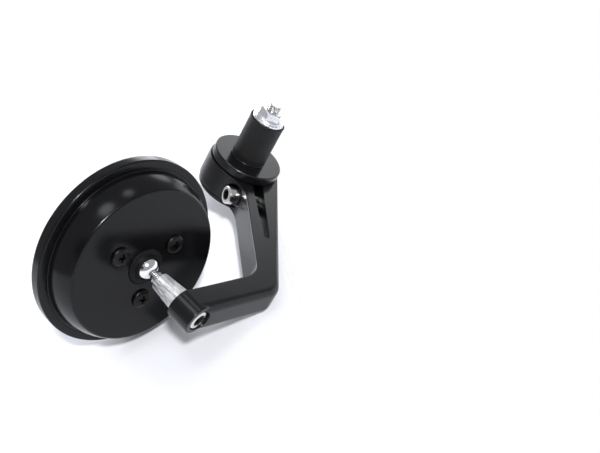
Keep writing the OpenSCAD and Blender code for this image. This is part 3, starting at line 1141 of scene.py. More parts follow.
@dataclass(frozen=True)
class CrossScrew:
    """A pan-head screw with a cross recess in the head's back, measured from its CAD node.

    Each corner of the dome is a share of the head's radius, a share of its height, and a round.
    """

    node: str
    slot_share: float = 0.14
    length_share: float = 0.52
    depth_share: float = 0.5
    floor_share: float = 0.62
    height_share: float = 0.72
    dome: tuple[Triple, ...] = ((1.0, 0.42, 0.3), (0.86, 0.78, 0.5), (0.6, 0.95, 0.5), (0.3, 1.0, 0.3))
    edge_round: float = 0.12

    def build(self) -> None:
        """Builds the screw."""
        axle = HEAD_AXLE.through(self.node)
        gauge = axle.gauge(self.node)
        head_r = gauge.outer
        seat, _ = gauge.rim()
        height = self.height_share * (gauge.high - seat)
        top = seat + height
        shank_r = gauge.reach(gauge.low)
        made = placed(spun([
            Corner(0, gauge.low), Corner(shank_r, gauge.low, 0.3), Corner(shank_r, seat),
            Corner(head_r, seat, 0.15),
            *(Corner(head_r * out, seat + up * height, rounded) for out, up, rounded in self.dome),
            Corner(0, top),
        ], steps=SCREW_STEPS), f"{self.node}_piece", axle)
        floor = top - self.depth_share * height
        wide = self.length_share * 2 * head_r
        slim = self.slot_share * 2 * head_r
        for size in ((wide, slim), (slim, wide)):
            carve(made, Cut.REMOVE, placed(self._wing(size, floor, top + 0.5), "wing", axle))
        cleaned(made)
        soften(made, self.edge_round, angle_deg=40)
        smooth(made, 40)
        dress(made, BLACK_OXIDE, Body.HEAD, self.node, axle=axle)

    def _wing(self, size: tuple[float, float], floor: float, top: float) -> BMesh:
        """One bar of the cross, narrower at its floor.

        Args:
            size: The bar's length and width.
            floor: The height of its floor.
            top: The height of its top.

        Returns:
            The bar.
        """
        work = block((*size, top - floor), (0.0, 0.0, (floor + top) / 2))
        foot = [v for v in work.verts if v.co.z < floor + 0.1]
        bmesh.ops.scale(work, vec=(self.floor_share, self.floor_share, 1.0), verts=foot)
        return work


# Sub-assemblies


@dataclass(frozen=True)
class BarPlug:
    """The hub, the end cap, and the rubber plug that the through bolt swells in the bar.

    Each corner of the rubber's rim says how far it lies out of the wall, how far below the top, and
    its round: the rim flares under the washer, with a fold below it.
    """

    rim_chamfer: float = 0.45
    chamfer_round: float = 0.08
    foot_round: float = 0.06
    counterbore_depth: float = 6.0
    cap_well_depth: float = 6.1
    rubber_rim: tuple[Triple, ...] = (
        (-0.05, 1.9, 0.0), (0.02, 1.4, 0.15), (-0.1, 0.9, 0.12), (0.12, 0.05, 0.0), (-0.3, 0.1, 0.0),
    )
    bolt_key_w: float = 5.0
    bolt_pitch: float = 1.0
    nut_flat_r: float = 5.0
    nut_chamfer: float = 0.5
    nut_lead: float = 0.3
    nut_rim_t: float = 0.45
    nut_flange_t: float = 1.3

    def build(self) -> None:
        """Builds the hub stack, from the cap up to the nut."""
        self._hub()
        self._end_cap()
        self._rubber()
        self._washer()
        self._nut()
        CapScrew("through_bolt", PLUG_AXLE, self.bolt_key_w, self.bolt_pitch, Body.ROOT,
                 thread_from=PLUG_AXLE.gauge("plug_rubber").high).build()

    def _hub(self) -> None:
        """Turns the hub: flange, journal and the spigot that enters the bar."""
        hub = PLUG_AXLE.gauge("hub")
        flange_low, flange_high = hub.band(hub.outer - 1)
        spigot_r = hub.reach(hub.high)
        journal_r = hub.reach(hub.low)
        pocket_r = hub.bore(hub.low)
        pocket_z = hub.low + self.counterbore_depth
        work = spun([
            Corner(hub.inner, hub.high, 0.2), Corner(hub.inner, pocket_z), Corner(pocket_r, pocket_z),
            Corner(pocket_r, hub.low), Corner(journal_r, hub.low), Corner(journal_r, flange_low),
            Corner(hub.outer, flange_low, 0.4),
            Corner(hub.outer, flange_high - self.rim_chamfer, self.chamfer_round),
            Corner(hub.outer - self.rim_chamfer, flange_high, self.chamfer_round),
            Corner(spigot_r, flange_high, 0.25), Corner(spigot_r, hub.high, self.foot_round),
        ], ring=True, steps=FINE_STEPS)
        made = turned_piece(work, "hub", HUB_BLACK, Body.ROOT, PLUG_AXLE)
        coat_zone(made, SPIGOT_BLACK, PLUG_AXLE, spigot_r + 0.02, flange_high + 0.3, hub.high)

    def _end_cap(self) -> None:
        """Turns the end cap, with the counterbore for the bolt's head."""
        cap = PLUG_AXLE.gauge("end_cap")
        disc_high = cap.band(cap.outer - 1)[1]
        boss_r = cap.reach(cap.high)
        well_r = cap.bore(cap.low)
        well_top = PLUG_AXLE.gauge("through_bolt").low + self.cap_well_depth
        work = spun([
            Corner(cap.inner, cap.high), Corner(cap.inner, well_top), Corner(well_r, well_top),
            Corner(well_r, cap.low, 0.35), Corner(cap.outer, cap.low, 0.7), Corner(cap.outer, disc_high, 0.4),
            Corner(boss_r, disc_high), Corner(boss_r, cap.high, 0.3),
        ], ring=True, steps=FINE_STEPS)
        turned_piece(work, "end_cap", HUB_BLACK, Body.ROOT, PLUG_AXLE)

    def _rubber(self) -> None:
        """Moulds the rubber."""
        rubber = PLUG_AXLE.gauge("plug_rubber")
        wall, high = rubber.outer, rubber.high
        rim = [Corner(wall + out, high - down, rounded) for out, down, rounded in self.rubber_rim]
        work = spun([
            Corner(rubber.inner, rubber.low), Corner(wall, rubber.low, self.foot_round), *rim,
            Corner(rubber.inner, rim[-1].z),
        ], ring=True)
        turned_piece(work, "plug_rubber", PLUG_RUBBER, Body.ROOT, PLUG_AXLE)

    @staticmethod
    def _washer() -> None:
        """Turns the washer on the rubber."""
        washer = PLUG_AXLE.gauge("plug_washer")
        work = spun([
            Corner(washer.inner, washer.low), Corner(washer.outer, washer.low, 0.3),
            Corner(washer.outer, washer.high, 0.45), Corner(washer.inner, washer.high, 0.15),
        ], ring=True)
        turned_piece(work, "plug_washer", ZINC_PLATE, Body.ROOT, PLUG_AXLE)

    def _nut(self) -> None:
        """Forges the nut: a hexagon with turned corners on a sloping flange."""
        nut = PLUG_AXLE.gauge("flange_nut")
        flat_r, top = self.nut_flat_r, nut.high
        corner_r = flat_r / math.cos(math.pi / 6)
        made = placed(spun([
            Corner(nut.inner, nut.low), Corner(corner_r + 0.05, nut.low),
            Corner(corner_r + 0.05, top - self.nut_chamfer), Corner(flat_r * 0.97, top, 0.1),
            Corner(nut.inner + self.nut_lead, top), Corner(nut.inner, top - self.nut_lead),
        ], ring=True), "flange_nut_piece", PLUG_AXLE)
        hexagon = cylinder(corner_r, nut.low - PAST, top + PAST, sides=6)
        carve(made, Cut.KEEP, placed(hexagon, "hexagon", PLUG_AXLE))
        slope_top = nut.low + self.nut_flange_t
        flange = spun([
            Corner(nut.inner, nut.low), Corner(nut.outer, nut.low, 0.15),
            Corner(nut.outer, nut.low + self.nut_rim_t, 0.2),
            Corner(flat_r * 1.02, slope_top, 0.2), Corner(nut.inner, slope_top),
        ], ring=True)
        carve(made, Cut.JOIN, placed(flange, "flange", PLUG_AXLE))
        cleaned(made)
        soften(made, 0.15, angle_deg=28)
        smooth(made, 40)
        dress(made, ZINC_PLATE, Body.ROOT, "flange_nut", axle=PLUG_AXLE)


@dataclass(frozen=True)
class ArmPlan:
    """The arm's plan, with the sizes that drive it in the part's source."""

    inner_y: float = -1.5
    elbow_x: float = 81.5
    elbow_turn: float = 55.0
    taper: float = 6.2
    forearm_t: float = 11.0
    forearm_len: float = 39.5
    inner_r: float = 14.0
    outer_r: float = 8.6
    corner_r: float = 16.0
    upper_steps: int = 12
    elbow_steps: int = 14
    fore_steps: int = 4

    @property
    def outer_normal(self) -> float:
        """The angle that the upper arm's outer face looks to."""
        return 90.0 - self.taper

    @property
    def fore_normal(self) -> float:
        """The angle that the forearm's outer face looks to."""
        return 90.0 - self.elbow_turn

    @staticmethod
    def unit(degrees: float) -> Vector:
        """The direction at an angle in plan."""
        return Vector((math.cos(math.radians(degrees)), math.sin(math.radians(degrees))))

    def outer_corner(self, ring_r: float) -> Vector:
        """The point where the outer faces of the two straight parts meet.

        Args:
            ring_r: The clamp ring's radius.

        Returns:
            The point in plan.
        """
        inner_tip = Vector((self.elbow_x, self.inner_y))
        ua, ub = self.unit(self.outer_normal), self.unit(self.fore_normal)
        da, db = ring_r, inner_tip.dot(ub) + self.forearm_t
        meeting = Vector((da * ub.y - db * ua.y, db * ua.x - da * ub.x))
        return meeting / math.sin(math.radians(self.fore_normal - self.outer_normal))

    def stations(self, ring_r: float) -> list[tuple[Vector, Vector, float]]:
        """Pairs of points across the arm, from the clamp ring to its end.

        Args:
            ring_r: The clamp ring's radius.

        Returns:
            The inner point, the outer point, and how far along the upper arm they are, from 0 to 1.
        """
        unit = self.unit
        fore = unit(-self.elbow_turn)
        inner_tip = Vector((self.elbow_x, self.inner_y))
        outer_half = 90.0 - (self.elbow_turn - self.taper) / 2.0
        inner_half = 90.0 - self.elbow_turn / 2.0
        inner_away = self.inner_r / math.sin(math.radians(inner_half))
        outer_away = self.outer_r / math.sin(math.radians(outer_half))
        inner_mid = inner_tip + inner_away * unit(180.0 + inner_half)
        outer_mid = self.outer_corner(ring_r) + outer_away * unit(180.0 - self.taper + outer_half)
        start = ring_r * unit(self.outer_normal)
        inner_first = Vector((start.x, self.inner_y))
        inner_bend = inner_mid + self.inner_r * unit(90.0)
        outer_bend = outer_mid + self.outer_r * unit(self.outer_normal)
        pairs = []
        for i in range(self.upper_steps + 1):
            share = i / self.upper_steps
            pairs.append((inner_first.lerp(inner_bend, share), start.lerp(outer_bend, share), share))
        for i in range(1, self.elbow_steps + 1):
            share = i / self.elbow_steps
            inner_turn = 90.0 + share * (self.fore_normal - 90.0)
            outer_turn = self.outer_normal + share * (self.fore_normal - self.outer_normal)
            inner = inner_mid + self.inner_r * unit(inner_turn)
            pairs.append((inner, outer_mid + self.outer_r * unit(outer_turn), 1.0))
        inner_end = inner_tip + self.forearm_len * fore
        outer_end = inner_end + self.forearm_t * unit(self.fore_normal)
        inner_last, outer_last, _ = pairs[-1]
        for i in range(1, self.fore_steps + 1):
            share = i / self.fore_steps
            pairs.append((inner_last.lerp(inner_end, share), outer_last.lerp(outer_end, share), 1.0))
        return pairs


@dataclass(frozen=True)
class ClampArm:
    """The clamp ring, the arm with its elbow, the end boss, and the screws in them.

    The slot is a wedge, given by its width and its middle at the ring and at its end. The long rounds
    grow from the ring to the elbow, above and below. The pinch screw's pocket, clearance hole and tap
    lie one behind the other.
    """

    plan: ArmPlan = field(default_factory=ArmPlan)
    ring_rim_round: float = 0.6
    edge_at_ring: float = 0.7
    edge_at_elbow: float = 3.2
    edge_below: float = 2.8
    edge_inner: float = 0.5
    slot_ring_w: float = 5.4
    slot_end_w: float = 3.0
    slot_reach: float = 55.0
    slot_ring_y: float = 5.2
    slot_end_y: float = 5.6
    pocket_d: float = 11.0
    counterbore_d: float = 9.3
    boss_round: float = 0.5
    screw_key_w: float = 4.0
    screw_pitch: float = 0.8
    washer_split: float = 1.5
    washer_round: float = 0.12
    washer_steps: int = 72
    ring_gap: float = 0.05
    bore_flare: float = 0.4
    web_bite: float = 2.0
    pocket_depth: float = 12.5
    clear_r: float = 2.7
    clear_depth: float = 9.5
    tap_r: float = 2.55
    tap_start: float = 9.0
    tap_spare: float = 0.2
    section_steps: int = 5

    def build(self) -> None:
        """Builds the arm and the fasteners that it carries."""
        pinch = self._pinch_axle()
        self._arm(pinch)
        CapScrew("pinch_screw", pinch, self.screw_key_w, self.screw_pitch, Body.ARM).build()
        CapScrew("arm_screw", STUD_AXLE.turned_back(), self.screw_key_w, self.screw_pitch, Body.ARM).build()
        self._lock_washer(pinch)
        self._flat_washer(pinch)

    @staticmethod
    def _pinch_axle() -> Axle:
        """The pinch screw's axle, from its head to its tip.

        Returns:
            The axle, with its origin in the flat washer.
        """
        washer = middle_of("pinch_washer")
        points = [v.co / MM - washer for v in frame["nodes"]["pinch_screw"].data.vertices]
        tip_side = [p for p in points if p.length > 0.75 * max(q.length for q in points)]
        middle = sum(tip_side, Vector()) / len(tip_side)
        along = middle if middle.y > 0 else -middle
        return Axle(washer, along.normalized())

    def _arm(self, pinch: Axle) -> None:
        """Lofts the arm, joins the ring, the web and the boss, and makes the cuts.

        Args:
            pinch: The pinch screw's axle.
        """
        low_corner, high_corner = (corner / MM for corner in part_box("arm"))
        low, high, ring_r = low_corner.z, high_corner.z, -low_corner.x
        hub = PLUG_AXLE.gauge("hub")
        bore_r = hub.reach(hub.low) + self.ring_gap
        screw = STUD_AXLE.gauge("arm_screw")
        boss_start, boss_end = STUD_AXLE.gauge("cone_sleeve").high, screw.high
        ring = self._drum(ring_r, low, high, self.ring_rim_round, FINE_STEPS)
        boss = self._drum((high - low) / 2, boss_start, boss_end, self.boss_round, TURN_STEPS)
        arm = placed(self._loft(ring_r, low, high), "arm_piece")
        carve(
            arm, Cut.JOIN,
            placed(ring, "ring"), self._web(ring_r, low, high), placed(boss, "boss", STUD_AXLE),
        )
        seat = pinch.gauge("pinch_washer").high
        tap_end = pinch.gauge("pinch_screw").high + self.tap_spare
        well_low = screw.rim()[0] - SKIM
        holes = (
            ("pocket", pinch, self.pocket_d / 2, seat - self.pocket_depth, seat, SCREW_STEPS),
            ("hole", pinch, self.clear_r, seat - PAST, seat + self.clear_depth, HOLE_STEPS),
            ("tap", pinch, self.tap_r, seat + self.tap_start, tap_end, HOLE_STEPS),
            ("well", STUD_AXLE, self.counterbore_d / 2, well_low, boss_end + 2 * PAST, SCREW_STEPS),
            ("through", STUD_AXLE, self.clear_r, boss_start - PAST, boss_end, HOLE_STEPS),
        )
        carve(
            arm, Cut.REMOVE,
            placed(self._bore_cutter(bore_r, low, high), "bore"), self._slot_cutter(ring_r, low, high),
            *(placed(cylinder(*size), name, axle) for name, axle, *size in holes),
        )
        cleaned(arm)
        soften(arm, 0.28)
        smooth(arm, 40)
        dress(arm, ARM_BLACK, Body.ARM, "arm")

    @staticmethod
    def _drum(radius: float, low: float, high: float, rim_round: float, steps: int) -> BMesh:
        """A round drum with rounded rims.

        Args:
            radius: Its radius.
            low: Its low height.
            high: Its high height.
            rim_round: The round of both rims.
            steps: How many steps the turn has.

        Returns:
            The drum.
        """
        return spun([
            Corner(0, low), Corner(radius, low, rim_round), Corner(radius, high, rim_round), Corner(0, high),
        ], steps=steps)

    def _loft(self, ring_r: float, low: float, high: float) -> BMesh:
        """Bridges rounded sections along the arm, with edges that grow rounder to the elbow.

        Args:
            ring_r: The clamp ring's radius.
            low: The arm's lower face.
            high: The arm's upper face.

        Returns:
            The bare arm.
        """
        work = bmesh.new()
        last: list[BMEdge] = []
        stations = self.plan.stations(ring_r)
        for index, (inner, outer, share) in enumerate(stations):
            known = set(work.edges)
            corners = [(inner, low), (outer, low), (outer, high), (inner, high)]
            verts = [work.verts.new((p.x, p.y, z)) for p, z in corners]
            work.faces.new(verts)
            above, below = (
                self.edge_at_ring + (far - self.edge_at_ring) * share
                for far in (self.edge_at_elbow, self.edge_below)
            )
            for vert, width in zip(verts, (self.edge_inner, below, above, self.edge_inner)):
                round_points(work, [vert], width, self.section_steps)
            fresh = [edge for edge in work.edges if edge not in known]
            if 0 < index < len(stations) - 1:
                inside = [f for f in work.faces if set(f.edges) <= set(fresh)]
                bmesh.ops.delete(work, geom=inside, context="FACES_ONLY")
            if last:
                bmesh.ops.bridge_loops(work, edges=last + fresh)
            last = fresh
        return outwards(work)

    def _web(self, ring_r: float, low: float, high: float) -> Object:
        """Fills the inside corner between the ring and the arm with a round.

        Args:
            ring_r: The clamp ring's radius.
            low: The arm's lower face.
            high: The arm's upper face.

        Returns:
            The web.
        """
        reach, bite = self.plan.corner_r, self.web_bite
        middle_y = self.plan.inner_y - reach
        middle_x = math.sqrt((ring_r + reach) ** 2 - middle_y ** 2)
        web = placed(prism([(0, 0), (0, bite), (middle_x, bite), (middle_x, middle_y)], low, high), "web")
        post = cylinder(reach, low - PAST, high + PAST)
        bmesh.ops.translate(post, verts=post.verts[:], vec=(middle_x, middle_y, 0.0))
        carve(web, Cut.REMOVE, placed(post, "post"))
        return web

    def _bore_cutter(self, bore_r: float, low: float, high: float) -> BMesh:
        """The ring's bore, flared at both rims.

        Args:
            bore_r: The bore's radius.
            low: The arm's lower face.
            high: The arm's upper face.

        Returns:
            The cutter.
        """
        flare = self.bore_flare
        wide_r, start, end = bore_r + flare + PAST, low - PAST, high + PAST
        return spun([
            Corner(0, start), Corner(wide_r, start), Corner(bore_r, low + flare),
            Corner(bore_r, high - flare), Corner(wide_r, end), Corner(0, end),
        ], steps=FINE_STEPS)

    def _slot_cutter(self, ring_r: float, low: float, high: float) -> Object:
        """The wedge-shaped clamp slot with its round end.

        Args:
            ring_r: The clamp ring's radius.
            low: The arm's lower face.
            high: The arm's upper face.

        Returns:
            The cutter.
        """
        start, end = self.slot_ring_w / 2, self.slot_end_w / 2
        flare = (start - end) / (self.slot_reach - ring_r)
        wide = start + flare * ring_r
        tip = self.slot_reach - end
        slot = placed(prism([
            (0, self.slot_ring_y - wide), (tip, self.slot_end_y - end),
            (tip, self.slot_end_y + end), (0, self.slot_ring_y + wide),
        ], low - PAST, high + PAST), "slot")
        round_end = cylinder(end, low - PAST, high + PAST, sides=32)
        bmesh.ops.translate(round_end, verts=round_end.verts[:], vec=(tip, self.slot_end_y, 0.0))
        carve(slot, Cut.JOIN, placed(round_end, "slot_end"))
        return slot

    def _lock_washer(self, pinch: Axle) -> None:
        """Coils the split spring washer.

        Args:
            pinch: The pinch screw's axle.
        """
        washer = pinch.gauge("pinch_lock_washer")
        work = bmesh.new()
        low, high = washer.low, washer.high
        outline = [(washer.inner, low), (washer.outer, low), (washer.outer, high), (washer.inner, high)]
        verts = [work.verts.new((r, 0.0, z)) for r, z in outline]
        work.faces.new(verts)
        round_points(work, verts, self.washer_round, 2)
        gap = self.washer_split / washer.outer
        bmesh.ops.rotate(work, verts=work.verts[:], cent=(0, 0, 0), matrix=Matrix.Rotation(gap / 2, 3, "Z"))
        bmesh.ops.spin(
            work, geom=work.faces[:], cent=(0, 0, 0), axis=(0, 0, 1), dvec=(0, 0, 0),
            angle=math.tau - gap, steps=self.washer_steps, use_merge=False, use_duplicate=False,
        )
        # Its near-black colour is painted shade
        turned_piece(outwards(work), "pinch_lock_washer", SPRING_PAINTED_SHADE, Body.ARM, pinch)

    @staticmethod
    def _flat_washer(pinch: Axle) -> None:
        """Turns the flat washer.

        Args:
            pinch: The pinch screw's axle.
        """
        washer = pinch.gauge("pinch_washer")
        work = spun([
            Corner(washer.inner, washer.low), Corner(washer.outer, washer.low, 0.06),
            Corner(washer.outer, washer.high), Corner(washer.inner, washer.high),
        ], ring=True)
        # Its zinc is darkened: painted shade
        turned_piece(work, "pinch_washer", WASHER_PAINTED_SHADE, Body.ARM, pinch)


@dataclass(frozen=True)
class BallStud:
    """The chromed ball on its threaded neck, and the sleeve that stands it off the arm."""

    neck_pitch: float = 0.8
    neck_thread_depth: float = 0.42
    thread_start: float = 0.55
    thread_bite: float = 1.0
    arc_steps: int = 28

    def build(self) -> None:
        """Builds the sleeve and the ball."""
        sleeve = STUD_AXLE.gauge("cone_sleeve")
        work = spun([
            Corner(sleeve.inner, sleeve.low, 0.2), Corner(sleeve.reach(sleeve.low), sleeve.low, 0.35),
            Corner(sleeve.reach(sleeve.high), sleeve.high, 0.15), Corner(sleeve.inner, sleeve.high),
        ], ring=True)
        turned_piece(work, "cone_sleeve", TURNED_METAL, Body.ARM, STUD_AXLE)
        self._ball(sleeve.low)

    def _ball(self, sleeve_low: float) -> None:
        """Turns the ball and cuts the neck's thread.

        Args:
            sleeve_low: The height where the sleeve starts on the neck.
        """
        stud = STUD_AXLE.gauge("ball_stud")
        ball_r = -stud.low
        neck_r = stud.reach(stud.high)
        core_r = neck_r - self.neck_thread_depth
        polar = math.asin((core_r - 0.1) / ball_r)
        arc = [math.pi - (math.pi - polar) * i / self.arc_steps for i in range(self.arc_steps + 1)]
        work = spun([
            *(Corner(ball_r * math.sin(a) if i else 0.0, ball_r * math.cos(a)) for i, a in enumerate(arc)),
            Corner(core_r, ball_r + 0.25), Corner(core_r, stud.high), Corner(0, stud.high),
        ], steps=SCREW_STEPS)
        start, end = ball_r + self.thread_start, sleeve_low + self.thread_bite
        helix(work, neck_r, self.neck_pitch, start, end, self.neck_thread_depth)
        turned_piece(work, "ball_stud", CHROME_PLATE, Body.ARM, STUD_AXLE, angle_deg=50)


@dataclass(frozen=True)
class MirrorHead:
    """The cup, the bezel with the glass, the socket that holds the ball, and three screws."""

    ledge: float = 4.1
    slope: float = 3.5
    wall: float = 2.0
    bow: float = 0.6
    back_round: float = 0.7
    foot_w: float = 0.45
    foot_h: float = 0.5
    foot_round: float = 0.22
    wall_steps: int = 10
    bezel_round: float = 0.75
    glass_steps: int = 12
    crown: float = 0.5
    screws: tuple[str, ...] = ("head_screw_1", "head_screw_2", "head_screw_3")
    screw_hole_r: float = 2.2
    nose_gap: float = 0.1
    nose_wall_h: float = 0.45
    nose_slope: tuple[float, float] = (1.0, 0.75)
    nose_step: tuple[float, float] = (1.15, 1.0)
    lip_w: float = 0.75
    bore_steps: int = 8

    def build(self) -> None:
        """Builds the head, from its back to the glass."""
        self._housing()
        self._bezel()
        self._glass()
        self._socket()
        for screw in self.screws:
            CrossScrew(screw).build()
        for node, finish in (
            ("friction_pad", BLACK_NYLON), ("pressure_cup", PRESSED_STEEL), ("spring_washer", PRESSED_STEEL),
            ("retainer", PRESSED_STEEL), ("glass_gasket", PLUG_RUBBER),
        ):
            recoat(node, finish, HEAD_AXLE)

    def _bowed(self, start: tuple[float, float], end: tuple[float, float], bow: float) -> list[Corner]:
        """Corners on a shallow arc between two points of a profile.

        Args:
            start: The first point, a radius and a height.
            end: The last point.
            bow: How far the arc's middle stands out.

        Returns:
            The corners, ends included.
        """
        run = Vector(end) - Vector(start)
        side = Vector((run.y, -run.x)).normalized()
        corners = []
        for i in range(self.wall_steps + 1):
            share = i / self.wall_steps
            point = Vector(start) + share * run + 4 * bow * share * (1 - share) * side
            corners.append(Corner(point.x, point.y))
        return corners

    def _round_bore(self, radius: float, start_z: float, end_z: float) -> list[Corner]:
        """Corners down the wall of a ball-shaped bore, between two heights.

        Args:
            radius: The ball's radius.
            start_z: The first height.
            end_z: The last height.

        Returns:
            The corners, ends included.
        """
        start, end = (math.asin(z / radius) for z in (start_z, end_z))
        angles = [start + (end - start) * i / self.bore_steps for i in range(self.bore_steps + 1)]
        return [Corner(radius * math.cos(a), radius * math.sin(a)) for a in angles]

    def _housing(self) -> None:
        """Turns the cup: a flat back with a hole for the socket, and a bowed wall."""
        cup = HEAD_AXLE.gauge("housing")
        bezel = HEAD_AXLE.gauge("bezel")
        hole_r = cup.bore(cup.high)
        cup_r = bezel.outer - self.ledge
        back_r = cup_r - self.slope
        inside = cup.high - self.wall
        flange_low, flange_high = cup.rim()
        foot_r, foot_top = cup_r + self.foot_w, bezel.high + self.foot_h
        outer = self._bowed((back_r, cup.high), (cup_r, foot_top), -self.bow)
        outer[0] = Corner(outer[0].r, outer[0].z, self.back_round)
        inner = self._bowed((cup_r - self.wall, flange_low), (back_r - self.wall, inside), self.bow)
        work = spun([
            Corner(hole_r, inside), Corner(hole_r, cup.high, 0.25), *outer,
            Corner(foot_r, foot_top, self.foot_round), Corner(foot_r, flange_high),
            Corner(cup.outer, flange_high), Corner(cup.outer, flange_low), *inner,
        ], ring=True, steps=HEAD_STEPS)
        made = placed(work, "housing_piece", HEAD_AXLE)
        for screw in self.screws:
            hole = cylinder(self.screw_hole_r, inside - PAST, cup.high + PAST, sides=32)
            carve(made, Cut.REMOVE, placed(hole, "hole", HEAD_AXLE.through(screw)))
        smooth(made)
        dress(made, HEAD_BLACK, Body.HEAD, "housing", axle=HEAD_AXLE)

    def _bezel(self) -> None:
        """Turns the ring round the glass."""
        ring = HEAD_AXLE.gauge("bezel")
        bore_r = ring.bore(ring.high)
        lip_top = min(z for r, z in ring.rings if abs(r - bore_r) < LEVEL_NEAR)
        work = spun([
            Corner(bore_r, ring.high), Corner(ring.outer, ring.high, self.bezel_round),
            Corner(ring.outer, ring.low, self.bezel_round * 1.4), Corner(ring.inner, ring.low, 0.4),
            Corner(ring.inner, lip_top, 0.1), Corner(bore_r, lip_top),
        ], ring=True, steps=HEAD_STEPS, segments=4)
        turned_piece(work, "bezel", HEAD_BLACK, Body.HEAD, HEAD_AXLE)

    def _glass(self) -> None:
        """Crowns the glass."""
        glass = HEAD_AXLE.gauge("mirror_glass")
        edge_z = glass.low + self.crown
        shares = [1 - i / self.glass_steps for i in range(self.glass_steps + 1)]
        face = [Corner(glass.outer * share, edge_z - self.crown * (1 - share ** 2)) for share in shares]
        work = spun([Corner(0, glass.high), Corner(glass.outer, glass.high, 0.2), *face], steps=FINE_STEPS)
        turned_piece(work, "mirror_glass", MIRROR_FACE, Body.HEAD, HEAD_AXLE)

    def _socket(self) -> None:
        """Turns the socket's nose, whose lip holds the ball."""
        nose = HEAD_AXLE.gauge("ball_socket")
        cup = HEAD_AXLE.gauge("housing")
        shoulder = cup.high
        nose_r = cup.bore(cup.high) - self.nose_gap
        slope_w, slope_h = self.nose_slope
        step_w, step_h = self.nose_step
        flange_low, flange_high = nose.rim()
        lip_r = nose.bore(nose.high)
        ball_gap_r = math.hypot(lip_r, nose.high)
        pad_gap_r = math.hypot(nose.bore(flange_low), flange_low)
        step_z = min(z for r, z in nose.rings if abs(math.hypot(r, z) - ball_gap_r) < 0.03)
        work = spun([
            Corner(nose.outer, flange_low, 0.2), Corner(nose.outer, flange_high),
            Corner(nose_r, flange_high), Corner(nose_r, shoulder + self.nose_wall_h, 0.25),
            Corner(nose_r - slope_w, shoulder + slope_h, 0.2), Corner(lip_r + step_w, shoulder + step_h, 0.3),
            Corner(lip_r + self.lip_w, nose.high, 0.2),
            *self._round_bore(ball_gap_r, nose.high, step_z),
            *self._round_bore(pad_gap_r, step_z, flange_low),
        ], ring=True)
        turned_piece(work, "ball_socket", BLACK_NYLON, Body.HEAD, HEAD_AXLE)


# Studio


@dataclass(frozen=True)
class Lamp:
    """A far lamp, whose rays reach the whole table from one direction."""

    name: str
    way: Triple
    level: float
    spread_deg: float
    colour: Colour = (1.0, 1.0, 1.0)

    def build(self) -> None:
        """Hangs the lamp."""
        data: Light = bpy.data.lights.new(self.name, "SUN")
        data.angle = math.radians(self.spread_deg)
        data.energy = self.level
        data.color = self.colour
        made = linked(self.name, data)
        made.location = self.way
        made.rotation_euler = Vector(self.way).to_track_quat("Z", "Y").to_euler()


